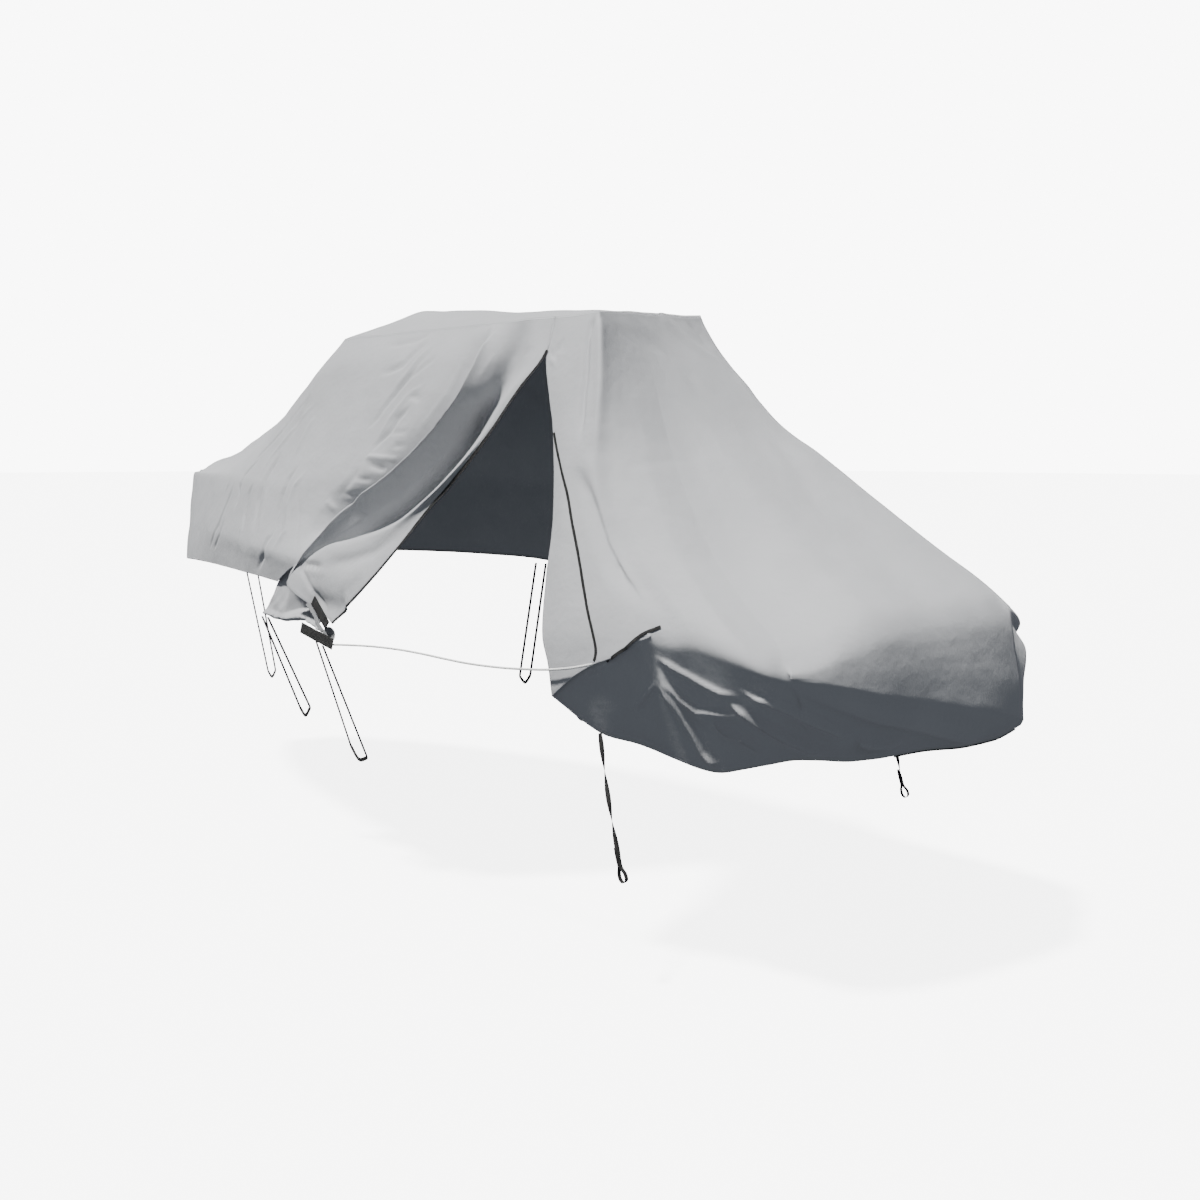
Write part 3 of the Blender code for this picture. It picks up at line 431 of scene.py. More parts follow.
def run_lengths(grid: np.ndarray, axis: int) -> np.ndarray:
    """Length of cloth from the grid's first row or column to each point, along one axis.

    Args:
        grid: a panel's points.
        axis: 0 for along the grid's first index, 1 for its second.

    Returns:
        One length for each point.
    """
    steps = np.linalg.norm(np.diff(grid, axis=axis), axis=-1)
    start = np.zeros_like(np.take(steps, [0], axis=axis))
    return np.concatenate((start, np.cumsum(steps, axis=axis)), axis=axis)


@dataclass
class Panel:
    """One cut panel of cloth as a grid of points, with the side of it that is hemmed and those sewn on."""

    layer: Layer
    grid: np.ndarray
    hem: Edge | None = None
    sewn: tuple[Edge, ...] = ()

    def weave(self) -> np.ndarray:
        """Metres of cloth along and across the panel at each of its points."""
        return np.stack((run_lengths(self.grid, 0), run_lengths(self.grid, 1)), axis=-1)

    def beside(self, edge: Edge) -> np.ndarray:
        """Metres along one side of the panel, and away from it, at each of its points.

        Args:
            edge: the side.

        Returns:
            Two numbers for each of the grid's points.
        """
        along, across = run_lengths(self.grid, 0), run_lengths(self.grid, 1)
        if edge is Edge.FIRST_ROW:
            return np.stack((across, along), axis=-1)
        if edge is Edge.LAST_ROW:
            return np.stack((across, along[-1:] - along), axis=-1)
        if edge is Edge.FIRST_COLUMN:
            return np.stack((along, across), axis=-1)
        return np.stack((along, across[:, -1:] - across), axis=-1)

    def nearest(self, edges: tuple[Edge, ...]) -> np.ndarray:
        """Metres along and away from the nearest of some sides, or far away from none.

        Args:
            edges: the sides.

        Returns:
            Two numbers for each of the grid's points.
        """
        best = np.full(self.grid.shape[:2] + (2,), FAR_AWAY)
        for edge in edges:
            here = self.beside(edge)
            best = np.where(here[..., 1:] < best[..., 1:], here, best)
        return best


@dataclass
class Cloth:
    """Panels sewn into one surface: shared points, four-sided faces and their cloth coordinates."""

    points: np.ndarray
    faces: np.ndarray
    weave: np.ndarray
    hem: np.ndarray
    seam: np.ndarray
    index: dict[Layer, list[np.ndarray]]

    @classmethod
    def sewn(cls, panels: list[Panel]) -> "Cloth":
        """Join panels wherever their points meet, with every face looking away from the heart line.

        Args:
            panels: the panels, which share the points of each common seam.

        Returns:
            The joined cloth.
        """
        every = np.concatenate([panel.grid.reshape(-1, 3) for panel in panels])
        places = np.round(every, SHARED_DIGITS)
        _, first, shared = np.unique(places, axis=0, return_index=True, return_inverse=True)
        shared = shared.reshape(-1)
        faces, weaves, hems, seams, index = [], [], [], [], {}
        start = 0
        for panel in panels:
            along, across = panel.grid.shape[:2]
            own = np.arange(along * across).reshape(along, across)
            corners = np.stack((own[:-1, :-1], own[1:, :-1], own[1:, 1:], own[:-1, 1:]), axis=-1)
            corners = corners.reshape(-1, 4)
            flat = panel.grid.reshape(-1, 3)
            one, two, three, four = (flat[corners[:, side]] for side in range(4))
            if np.sum(np.cross(three - one, four - two) * outward(one)) < 0:
                corners = corners[:, ::-1]
            faces.append(shared[start + corners])
            weaves.append(panel.weave().reshape(-1, 2)[corners])
            hems.append(panel.nearest((panel.hem,) if panel.hem else ()).reshape(-1, 2)[corners])
            seams.append(panel.nearest(panel.sewn).reshape(-1, 2)[corners])
            index.setdefault(panel.layer, []).append(shared[start + own])
            start += len(flat)
        maps = (np.concatenate(values) for values in (weaves, hems, seams))
        return cls(every[first], np.concatenate(faces), *maps, index)

    def soften(self, lines: list[np.ndarray], radius: float, passes: int) -> None:
        """Round the cloth near some lines: each point moves to the mean of its neighbours, again and again.

        The share moved falls off with the square of the distance from the lines, and the
        cloth's own rim stays where it is.

        Args:
            lines: rows of points along which the cloth is rounded.
            radius: distance at which the rounding has faded.
            passes: how often the points are moved.
        """
        sides = np.concatenate([self.faces[:, [a, (a + 1) % 4]] for a in range(4)])
        pairs, uses = np.unique(np.sort(sides, axis=1), axis=0, return_counts=True)
        share = np.zeros(len(self.points))
        for line in lines:
            near = np.full(len(self.points), np.inf)
            for part in np.array_split(line, max(1, len(line) // SOFTEN_POINTS_AT_ONCE)):
                gap = np.linalg.norm(self.points[:, None] - part[None], axis=-1).min(axis=1)
                near = np.minimum(near, gap)
            share = np.maximum(share, np.exp(-((near / radius) ** 2)))
        share[pairs[uses == 1].reshape(-1)] = 0.0
        size = len(self.points)
        degree = np.bincount(pairs.reshape(-1), minlength=size)[:, None]
        for _ in range(passes):
            total = np.stack([
                np.bincount(pairs[:, 0], self.points[pairs[:, 1], k], size)
                + np.bincount(pairs[:, 1], self.points[pairs[:, 0], k], size)
                for k in range(3)
            ], axis=-1)
            self.points += SOFTEN_SHARE * share[:, None] * (total / degree - self.points)

    def border(self, layer: Layer, edge: Edge, inside: int = 0, short: int = 0) -> np.ndarray:
        """Points along one side of a layer's first panel, or a few rows inside it.

        Args:
            layer: the panel's layer.
            edge: the side.
            inside: how many rows in from the side.
            short: how many columns are left off at the last row's end.

        Returns:
            Row of points.
        """
        grid = self.index[layer][0]
        grid = grid[:len(grid) - short]
        if edge is Edge.FIRST_ROW:
            return self.points[grid[inside]]
        if edge is Edge.LAST_ROW:
            return self.points[grid[-1 - inside]]
        if edge is Edge.FIRST_COLUMN:
            return self.points[grid[:, inside]]
        return self.points[grid[:, -1 - inside]]


# ---------------- the photograph's camera
@dataclass(frozen=True)
class PhotoCamera:
    """Camera at the photograph's viewing angle, found from the trailer's wheels and the horizon."""

    place: Triple = (-6.49, 5.72, -0.90)
    yaw: float = math.radians(-44.1)
    pitch: float = math.radians(-6.0)
    roll: float = math.radians(0.1)
    focal_pixels: float = 1371.0
    sensor: float = 36.0
    farthest: float = 400.0

    def axes(self) -> tuple[np.ndarray, np.ndarray, np.ndarray]:
        """Unit vectors to the right, up and forward, turned by the roll.

        Returns:
            The three directions.
        """
        ahead = np.array([
            math.cos(self.yaw) * math.cos(self.pitch),
            math.sin(self.yaw) * math.cos(self.pitch),
            math.sin(self.pitch),
        ])
        level = unit(np.cross(ahead, (0.0, 0.0, 1.0)))
        upright = np.cross(level, ahead)
        right = math.cos(self.roll) * level + math.sin(self.roll) * upright
        up = math.cos(self.roll) * upright - math.sin(self.roll) * level
        return right, up, ahead

    def pixels(self, points: np.ndarray) -> tuple[np.ndarray, np.ndarray]:
        """Where points show in the photograph, and how far ahead of the camera they are.

        Args:
            points: places in the part's frame.

        Returns:
            Pixels across and down, and depths in metres.
        """
        right, up, ahead = self.axes()
        seen = points - np.array(self.place)
        depth = seen @ ahead
        across = PICTURE_SIDE / 2 + self.focal_pixels * (seen @ right) / depth
        down = PICTURE_SIDE / 2 - self.focal_pixels * (seen @ up) / depth
        return np.stack((across, down), axis=-1), depth

    def rays(self, pixels: np.ndarray) -> np.ndarray:
        """Directions from the camera through some pixels.

        Args:
            pixels: pixels across and down.

        Returns:
            One unit direction for each pixel.
        """
        right, up, ahead = self.axes()
        across = (pixels[:, :1] - PICTURE_SIDE / 2) / self.focal_pixels
        down = (pixels[:, 1:] - PICTURE_SIDE / 2) / self.focal_pixels
        return unit(ahead + across * right - down * up)

    def build(self) -> bpy.types.Object:
        """Make the camera and set it as the scene's own.

        Returns:
            The camera.
        """
        right, up, ahead = self.axes()
        lens = bpy.data.cameras.new("photo_camera")
        lens.sensor_width = self.sensor
        lens.lens = self.focal_pixels / PICTURE_SIDE * self.sensor
        lens.clip_end = self.farthest
        camera = bpy.data.objects.new("photo_camera", lens)
        turn = np.eye(4)
        turn[:3, 0], turn[:3, 1], turn[:3, 2], turn[:3, 3] = right, up, -ahead, self.place
        camera.matrix_world = turn.T.tolist()
        bpy.context.scene.collection.objects.link(camera)
        bpy.context.scene.camera = camera
        return camera


# ---------------- creases and unevenness
@dataclass(frozen=True)
class Crease:
    """Soft trough or ridge, placed along pixels of the photograph.

    Its height over the cloth is relief * exp(-(distance / half_width) ** sharp), where the
    half width is wider on one side by skew, and it grows and fades along its run.
    """

    layers: tuple[Layer, ...]
    pixels: tuple[tuple[float, float], ...]
    half_width: float
    relief: float
    sharp: float = 2.0
    skew: float = 0.0
    rise: float = 0.25
    fall: float = 0.35

    def laid(self, cloth: Cloth, camera: PhotoCamera) -> np.ndarray:
        """The crease's points on the cloth: the nearest point that shows at each pixel.

        Args:
            cloth: the cloth that the crease lies on.
            camera: the photograph's camera.

        Returns:
            One point for each pixel.
        """
        mine = np.unique(np.concatenate([
            grid.reshape(-1) for layer in self.layers for grid in cloth.index.get(layer, [])
        ]))
        seen, depth = camera.pixels(cloth.points[mine])
        away = np.linalg.norm(seen[None] - np.array(self.pixels)[:, None], axis=-1)
        reach = np.maximum(away.min(axis=1, keepdims=True) + PIXEL_SLACK, PIXEL_REACH)
        cost = np.where(away <= reach, depth[None] + DEPTH_PER_PIXEL * away, np.inf)
        return cloth.points[mine[cost.argmin(axis=1)]]

    def lift(self, path: np.ndarray, points: np.ndarray, away: np.ndarray) -> np.ndarray:
        """How far each point moves outwards.

        Args:
            path: the crease's points on the cloth.
            points: the cloth's points.
            away: their outward directions.

        Returns:
            One height for each point.
        """
        runs = np.diff(path, axis=0)
        lengths = np.maximum(np.linalg.norm(runs, axis=1), 1e-6)
        stations = np.concatenate(([0.0], np.cumsum(lengths)))
        best = np.full(len(points), np.inf)
        height = np.zeros(len(points))
        for start, run, length, station in zip(path, runs, lengths, stations):
            share = np.clip((points - start) @ run / length**2, 0.0, 1.0)
            gap = points - start - share[:, None] * run
            distance = np.linalg.norm(gap, axis=1)
            side = np.sign(np.sum(np.cross(run, gap) * away, axis=1))
            width = self.half_width * (1 + self.skew * side)
            t = (station + share * length) / stations[-1]
            grow = eased(np.clip(t / self.rise, 0, 1))
            fade = eased(np.clip((1 - t) / self.fall, 0, 1))
            swell = np.exp(-((distance / width) ** self.sharp)) * grow * fade
            nearer = distance < best
            height = np.where(nearer, swell, height)
            best = np.where(nearer, distance, best)
        return self.relief * height


@dataclass(frozen=True)
class Slackness:
    """Unevenness of slack cloth: many sines of random direction and length, added up."""

    seed: int = 11
    waves: int = 40
    longest: float = 0.9
    shortest: float = 0.14
    height: float = 0.0014

    def at(self, points: np.ndarray) -> np.ndarray:
        """Height at each point: the sines' sum, each as high as its wave is long.

        Args:
            points: the cloth's points.

        Returns:
            One height for each point.
        """
        random = np.random.default_rng(self.seed)
        turn = unit(random.normal(size=(self.waves, 3)))
        wave = self.shortest * (self.longest / self.shortest) ** random.random(self.waves)
        phase = random.random(self.waves) * 2 * math.pi
        swell = np.sin(points @ (turn / wave[:, None]).T * 2 * math.pi + phase)
        return self.height * (swell * (wave / self.longest)).sum(axis=1)


@dataclass
class FoldField:
    """All creases with their places on the cloth, and the unevenness between them."""

    camera: PhotoCamera
    slackness: Slackness = field(default_factory=Slackness)
    laid: list[tuple[Crease, np.ndarray]] = field(default_factory=list)

    def lay(self, creases: tuple[Crease, ...], cloth: Cloth) -> None:
        """Lay creases on the cloth that they are placed on."""
        self.laid += [(crease, crease.laid(cloth, self.camera)) for crease in creases]

    def fold(self, cloth: Cloth) -> None:
        """Move the cloth's points out or in by every crease of their layers and by the unevenness.

        Args:
            cloth: the cloth, whose points are moved.
        """
        away = outward(cloth.points)
        rise = self.slackness.at(cloth.points)
        for crease, path in self.laid:
            found = [grid.reshape(-1) for layer in crease.layers for grid in cloth.index.get(layer, [])]
            if not found:
                continue
            mine = np.unique(np.concatenate(found))
            reach = CREASE_REACH * crease.half_width
            low, high = path.min(axis=0) - reach, path.max(axis=0) + reach
            inside = np.all((cloth.points[mine] > low) & (cloth.points[mine] < high), axis=1)
            mine = mine[inside]
            rise[mine] += crease.lift(path, cloth.points[mine], away[mine])
        cloth.points += away * rise[:, None]


# ---------------- creases seen in the photograph
ZIP_AFT_PIXELS = (
    (552, 428), (554, 433), (557, 450), (561, 468), (567, 492), (571, 516), (576, 542), (580.5, 567),
    (584, 590), (588.5, 615), (593, 633), (596, 647), (597, 656), (594, 661),
)
ZIP_END_PIXELS = ((607, 661), (613, 657), (626, 648), (640, 636), (650, 631), (661, 627))
STRAP_LOOPS = (
    ("strap_port_mid",
     (0.5, 1.3, 1.5), (0.68, 0.95, 0.79), (0.5, 0.95, 0.74), (0.43, 1.3, 1.48)),
    ("strap_port_forward",
     (1.32, 1.18, 1.57), (1.26, 0.95, 0.95), (1.14, 0.95, 0.97), (1.25, 1.18, 1.57)),
    ("strap_starboard_bow",
     (4.12, -0.28, 1.74), (3.62, -0.2, 0.8), (3.5, -0.2, 0.82), (4.02, -0.33, 1.74)),
    ("strap_starboard_mid",
     (0.5, -1.24, 1.53), (0.68, -0.95, 0.79), (0.5, -0.95, 0.74), (0.43, -1.24, 1.51)),
    ("strap_starboard_forward",
     (1.32, -1.17, 1.79), (1.26, -0.95, 0.95), (1.14, -0.95, 0.97), (1.22, -1.18, 1.79)),
)
DISC_CENTRE = (0.317, 1.33, 1.557)
DISC_RADIUS = 0.048
DISC_FACING = (-0.30, 0.948, 0.11)
TAB_FACING = (0.0, 0.994, 0.10)
TO_PORT = (0.0, 1.0, 0.0)
UPRIGHT = (0.0, 0.0, 1.0)

SIDE = (Layer.SIDE,)
FLAP = (Layer.FLAP,)
AFT = (Layer.QUARTER, Layer.SLOPE)
TUCKED = (Layer.SKIRT,)

BOW_CREASES = (
    Crease(SIDE, ((234, 480), (225, 500), (216, 525), (207, 550)), 0.012, -0.014, rise=0.25, fall=0.2),
    Crease(SIDE, ((224, 515), (217, 534), (211, 551)), 0.011, -0.010, rise=0.3, fall=0.2),
    Crease(SIDE, ((239, 481), (237, 495), (234, 509)), 0.012, -0.012),
    Crease(SIDE, ((262, 452), (245, 474), (240, 482), (236, 498), (233, 513)), 0.014, -0.015),
    Crease(SIDE, ((254, 481), (249, 493), (244, 513), (241, 531)), 0.012, -0.014),
    Crease(SIDE, ((283, 449), (264, 480), (259, 499), (256, 516), (253, 534)), 0.015, -0.018),
    Crease(SIDE, ((312, 394), (296, 412), (280, 430), (258, 453), (243, 474)), 0.018, -0.012),
    Crease(SIDE, ((318, 398), (304, 416), (288, 436), (272, 456), (258, 478)), 0.014, 0.008),
    Crease(SIDE, ((304, 458), (288, 478), (281, 493), (278, 509), (270, 534), (263, 556), (256, 574)),
           0.015, -0.022, sharp=1.6, rise=0.3, fall=0.25),
    Crease(SIDE, ((306, 468), (294, 486), (288, 505), (284, 530), (272, 556)),
           0.018, 0.012, rise=0.2, fall=0.3),
    Crease(SIDE, ((298, 486), (297, 505), (297, 530), (295, 566)), 0.009, -0.006),
    Crease(SIDE, ((310, 396), (301, 416), (290, 438)), 0.022, -0.012),
    Crease(SIDE, ((316, 412), (303, 436), (290, 460)), 0.020, 0.010),
    Crease(SIDE, ((326, 498), (333, 509), (340, 520)), 0.016, 0.012),
    Crease(SIDE, ((321, 508), (327, 526), (322, 545)), 0.024, -0.012),
    Crease(SIDE, ((230, 470), (226, 482), (222, 492)), 0.014, 0.008),
    Crease(SIDE, ((268, 486), (262, 512), (258, 536)), 0.014, 0.009),
    Crease(SIDE, ((246, 500), (240, 526), (238, 552)), 0.012, 0.008),
)
FORWARD_CREASES = (
    Crease(SIDE, ((474, 345), (462, 366), (448, 392), (430, 418), (412, 442)), 0.014, 0.007),
    Crease(SIDE, ((430, 332), (414, 340), (400, 343), (386, 345)), 0.020, -0.014, rise=0.1),
    Crease(SIDE, ((428, 339), (418, 348), (402, 366), (390, 371), (378, 371)), 0.022, -0.018, rise=0.1),
    Crease(SIDE, ((438, 338), (424, 352), (408, 372), (392, 390)), 0.018, 0.008),
    Crease(SIDE, ((438, 350), (432, 358), (418, 369), (404, 380)), 0.016, -0.010),
    Crease(SIDE, ((434, 346), (402, 384), (390, 398), (380, 412)), 0.018, -0.011),
    Crease(SIDE, ((418, 370), (410, 376), (390, 398), (376, 418), (364, 432)), 0.017, -0.012),
    Crease(SIDE, ((426, 384), (410, 394), (396, 410), (380, 432)), 0.016, 0.008),
    Crease(SIDE, ((408, 393), (415, 397), (422, 399)), 0.014, -0.012),
    Crease(SIDE, ((412, 404), (398, 416), (390, 430), (379, 442), (368, 456)), 0.017, -0.019, sharp=1.7),
    Crease(SIDE, ((404, 402), (388, 420), (376, 440)), 0.014, 0.006),
    Crease(SIDE, ((390, 433), (400, 433), (410, 433)), 0.012, -0.008),
    Crease(SIDE, ((392, 445), (400, 447), (406, 446)), 0.013, -0.009),
    Crease(SIDE, ((366, 456), (382, 457), (399, 460)), 0.012, 0.014, rise=0.1, fall=0.1),
    Crease(SIDE, ((366, 464), (380, 467), (392, 469)), 0.020, -0.018),
    Crease(SIDE, ((352, 478), (366, 480), (380, 482)), 0.016, -0.012),
    Crease(SIDE, ((340, 492), (352, 496), (362, 494)), 0.018, -0.014),
    Crease(SIDE, ((360, 466), (350, 480), (342, 490), (336, 500)), 0.028, -0.012),
)
CREST_CREASES = (
    Crease(SIDE + FLAP, ((494, 323), (482, 346), (466, 380), (454, 398), (440, 418), (430, 433),
            (418, 444), (396, 470), (372, 488), (350, 506), (328, 526), (310, 547)),
           0.013, 0.012, sharp=2.0, rise=0.02, fall=0.1),
)
FLAP_CREASES = (
    Crease(FLAP, ((301, 564), (308, 565), (318, 566), (328, 565.5)), 0.016, -0.026, rise=0.12, fall=0.45),
    Crease(FLAP, ((318, 566), (334, 564), (352, 560), (372, 552), (392, 538), (408, 524)),
           0.032, -0.016, rise=0.3, fall=0.4),
    Crease(FLAP, ((303, 568), (316, 571), (330, 573)), 0.014, 0.008),
    Crease(FLAP, ((310, 598), (321, 606), (333, 610), (346, 608)), 0.070, -0.032, rise=0.1, fall=0.1),
    Crease(FLAP, ((301, 566), (306, 578), (312, 592), (318, 604), (325, 618)),
           0.014, -0.013, rise=0.05, fall=0.3),
    Crease(FLAP, ((334, 584), (350, 576), (368, 564)), 0.040, 0.010),
    Crease(FLAP, ((500, 350), (486, 372), (474, 396)), 0.024, 0.010),
    Crease(FLAP, ((520, 345), (508, 362), (498, 384)), 0.022, -0.008),
    Crease(FLAP, ((538, 352), (527, 352), (514, 348)), 0.012, -0.008),
)
APEX_CREASES = (
    Crease((Layer.QUARTER, Layer.ROOF), ((553, 352), (558, 346), (566, 338)), 0.014, -0.010),
    Crease((Layer.QUARTER,), ((548, 352), (553, 353), (559, 356)), 0.012, -0.010),
    Crease((Layer.QUARTER,), ((548, 358), (552, 360), (556, 366)), 0.012, 0.008),
    Crease((Layer.QUARTER,), ((552, 348), (560, 350), (568, 349)), 0.012, -0.007),
)
AFT_CREASES = (
    Crease(AFT + (Layer.ROOF,), ((595, 314), (591, 328), (588, 342), (585, 370), (583, 397), (581, 422),
            (580, 447)), 0.020, -0.024, skew=-0.2, rise=0.08, fall=0.3),
    Crease(AFT, ((603, 318), (602, 345), (601, 373), (598, 420), (595, 470)),
           0.030, 0.012, rise=0.1, fall=0.5),
    Crease(AFT, ((571, 465), (580, 476), (587, 489), (596, 515), (604, 542), (614, 564), (622, 580),
            (636, 598), (652, 615)), 0.032, -0.022, skew=-0.3, rise=0.3, fall=0.3),
    Crease(AFT, ((612, 563), (617, 575), (625, 590)), 0.018, -0.012),
    Crease(AFT, ((583, 452), (594, 476), (606, 506), (614, 536)), 0.040, 0.012),
    Crease(AFT, ((657, 313), (676, 328), (695, 344), (715, 360), (735, 376), (760, 398)),
           0.050, 0.016, rise=0.1, fall=0.2),
    Crease(AFT, ((688, 317), (700, 332), (713, 350)), 0.040, -0.012, rise=0.2),
    Crease(AFT, ((640, 330), (664, 350), (690, 376), (712, 402)), 0.060, -0.012, rise=0.2),
    Crease(AFT, ((620, 470), (655, 462), (700, 460)), 0.022, -0.005),
    Crease(AFT, ((630, 500), (660, 512), (700, 524)), 0.024, -0.005),
    Crease(AFT, ((700, 596), (716, 600), (732, 606)), 0.018, -0.005),
    Crease(AFT, ((770, 430), (800, 470), (824, 520)), 0.070, -0.008),
)
FACE_CREASES = (
    Crease((Layer.FACE,), ((900, 640), (940, 632), (985, 626)), 0.016, -0.003),
    Crease((Layer.FACE,), ((910, 662), (955, 654), (1000, 650)), 0.020, 0.003),
)
SKIRT_CREASES = (
    Crease(TUCKED, ((652, 656), (668, 664), (680, 671), (703, 683), (722, 692), (742, 697)),
           0.019, 0.022, sharp=1.4, skew=-0.45, rise=0.25, fall=0.3),
    Crease(TUCKED, ((738, 687), (767, 699), (793, 710), (813, 720), (832, 727), (853, 737)),
           0.024, 0.042, sharp=1.4, skew=-0.45, rise=0.2, fall=0.15),
    Crease(TUCKED, ((856, 739), (872, 742), (886, 742), (905, 740)),
           0.020, 0.036, sharp=2.0, rise=0.2, fall=0.3),
    Crease(TUCKED, ((655, 664), (667, 683), (683, 700), (697, 710), (713, 713), (740, 715), (753, 719)),
           0.019, 0.026, sharp=1.4, skew=-0.4, rise=0.25, fall=0.3),
    Crease(TUCKED, ((725, 699), (745, 712), (767, 727), (785, 738), (799, 743), (814, 751), (831, 752)),
           0.021, 0.036, sharp=1.4, skew=-0.4, rise=0.2, fall=0.2),
    Crease(TUCKED, ((657, 672), (670, 693), (684, 714), (695, 734), (704, 751), (720, 768)),
           0.024, 0.032, sharp=1.5, skew=-0.3, rise=0.3, fall=0.1),
    Crease(TUCKED, ((656, 680), (648, 694), (640, 703), (634, 712)),
           0.014, 0.014, sharp=1.5, rise=0.3, fall=0.3),
    Crease(TUCKED, ((656, 683), (668, 696), (680, 715), (690, 742)),
           0.014, 0.014, sharp=1.5, rise=0.3, fall=0.2),
    Crease(TUCKED, ((710, 717), (723, 733), (740, 740), (756, 750), (766, 753)),
           0.017, 0.018, sharp=1.4, skew=-0.4, rise=0.2, fall=0.2),
    Crease(TUCKED, ((770, 678), (793, 686), (820, 699), (866, 714), (912, 724), (950, 733), (985, 739)),
           0.038, 0.030, skew=0.35, rise=0.4, fall=0.2),
    Crease(TUCKED, ((664, 676), (690, 716), (716, 740)), 0.019, -0.007, rise=0.3, fall=0.3),
    Crease(TUCKED, ((598, 686), (614, 694), (628, 706)), 0.043, -0.005, rise=0.3, fall=0.3),
)


# ---------------- materials
class ShaderTree:
    """Node tree of one material, with short ways to add and join its nodes."""

    def __init__(self, name: str, roughness: float, metallic: float = 0.0) -> None:
        """Start a Principled material.

        Args:
            name: the material's name.
            roughness: its shader's roughness.
            metallic: its shader's metallic share.
        """
        self.material = bpy.data.materials.new(name)
        self.material.use_nodes = True
        self.tree = self.material.node_tree
        self.shader = self.tree.nodes["Principled BSDF"]
        self.shader.inputs["Roughness"].default_value = roughness
        self.shader.inputs["Metallic"].default_value = metallic
        self.place = self.tree.nodes.new("ShaderNodeTexCoord").outputs["Object"]

    def put(self, value: Value, socket: Socket) -> None:
        """Set a socket to a constant, or join it to an output.

        Args:
            value: a constant or an output.
            socket: the input that takes it.
        """
        if isinstance(value, Socket):
            self.tree.links.new(value, socket)
        else:
            socket.default_value = value

    def math(self, operation: str, first: Value, second: Value = 0.0) -> Socket:
        """Result of a Math node on constants or outputs.

        Args:
            operation: the node's operation.
            first: a constant or an output.
            second: a constant or an output.

        Returns:
            The result.
        """
        node = self.tree.nodes.new("ShaderNodeMath")
        node.operation = operation
        for socket, value in zip(node.inputs, (first, second)):
            self.put(value, socket)
        return node.outputs["Value"]

    def noise(self, scale: float, detail: float, vector: Socket | None = None,
              roughness: float = 0.5) -> Socket:
        """Height of a Noise texture, from 0 to 1 round a half.

        Args:
            scale: waves to a metre.
            detail: octaves of finer waves.
            vector: coordinates, or none for the object's own.
            roughness: strength of the finer waves.

        Returns:
            The height.
        """
        node = self.tree.nodes.new("ShaderNodeTexNoise")
        node.inputs["Scale"].default_value = scale
        node.inputs["Detail"].default_value = detail
        node.inputs["Roughness"].default_value = roughness
        self.put(self.place if vector is None else vector, node.inputs["Vector"])
        return node.outputs["Fac"]

    def stretched(self, vector: Socket, scale: Triple) -> Socket:
        """Coordinates multiplied by a scale for each axis.

        Args:
            vector: the coordinates.
            scale: one factor for each axis.

        Returns:
            The stretched coordinates.
        """
        node = self.tree.nodes.new("ShaderNodeVectorMath")
        node.operation = "MULTIPLY"
        self.put(vector, node.inputs[0])
        node.inputs[1].default_value = scale
        return node.outputs["Vector"]

    def uv(self, name: str) -> tuple[Socket, Socket, Socket]:
        """A UV map as a vector and as its two numbers.

        Args:
            name: the UV map's name.

        Returns:
            The vector, its first number and its second.
        """
        node = self.tree.nodes.new("ShaderNodeUVMap")
        node.uv_map = name
        split = self.tree.nodes.new("ShaderNodeSeparateXYZ")
        self.tree.links.new(node.outputs["UV"], split.inputs["Vector"])
        return node.outputs["UV"], split.outputs["X"], split.outputs["Y"]

    def ramp(self, value: Value, low: float, high: float, start: float, end: float) -> Socket:
        """Value taken smoothly from one range to another and held at its ends.

        Args:
            value: a constant or an output.
            low: value that gives the start.
            high: value that gives the end.
            start: result at low.
            end: result at high.

        Returns:
            The result.
        """
        node = self.tree.nodes.new("ShaderNodeMapRange")
        node.interpolation_type = "SMOOTHSTEP"
        for socket, number in zip(node.inputs, (value, low, high, start, end)):
            self.put(number, socket)
        return node.outputs["Result"]

    def mix(self, share: Value, first: Value, second: Value) -> Socket:
        """Colour between two colours.

        Args:
            share: share of the second colour.
            first: a colour or an output.
            second: a colour or an output.

        Returns:
            The colour.
        """
        node = self.tree.nodes.new("ShaderNodeMix")
        node.data_type = "RGBA"
        self.put(share, node.inputs["Factor"])
        self.put(first, node.inputs[MIX_FIRST_COLOUR])
        self.put(second, node.inputs[MIX_FIRST_COLOUR + 1])
        return node.outputs[MIX_COLOUR_RESULT]

    def near(self, value: Value, centre: float, width: float) -> Socket:
        """One at a centre, falling smoothly to nothing at a width from it."""
        away = self.math("ABSOLUTE", self.math("SUBTRACT", value, centre))
        return self.ramp(away, width * 0.4, width, 1.0, 0.0)

    def wave(self, value: Value, pitch: float) -> Socket:
        """Sine of a length with that pitch, from -1 to 1."""
        return self.math("SINE", self.math("MULTIPLY", value, 2 * math.pi / pitch))

    def bump(self, height: Value, distance: float, under: Socket | None = None) -> Socket:
        """Normal bent by a height in units of a distance in metres, over another bump.

        Args:
            height: a constant or an output.
            distance: metres for a height of one.
            under: the bump below it.

        Returns:
            The bent normal.
        """
        node = self.tree.nodes.new("ShaderNodeBump")
        node.inputs["Strength"].default_value = 1.0
        node.inputs["Distance"].default_value = distance
        self.put(height, node.inputs["Height"])
        if under is not None:
            self.put(under, node.inputs["Normal"])
        return node.outputs["Normal"]

    def done(self, colour: Value, normal: Socket) -> Material:
        """Join the colour and the normal to the shader and give the material.

        Args:
            colour: a colour or an output.
            normal: the bent normal.

        Returns:
            The material.
        """
        self.put(colour, self.shader.inputs["Base Color"])
        self.put(normal, self.shader.inputs["Normal"])
        return self.material


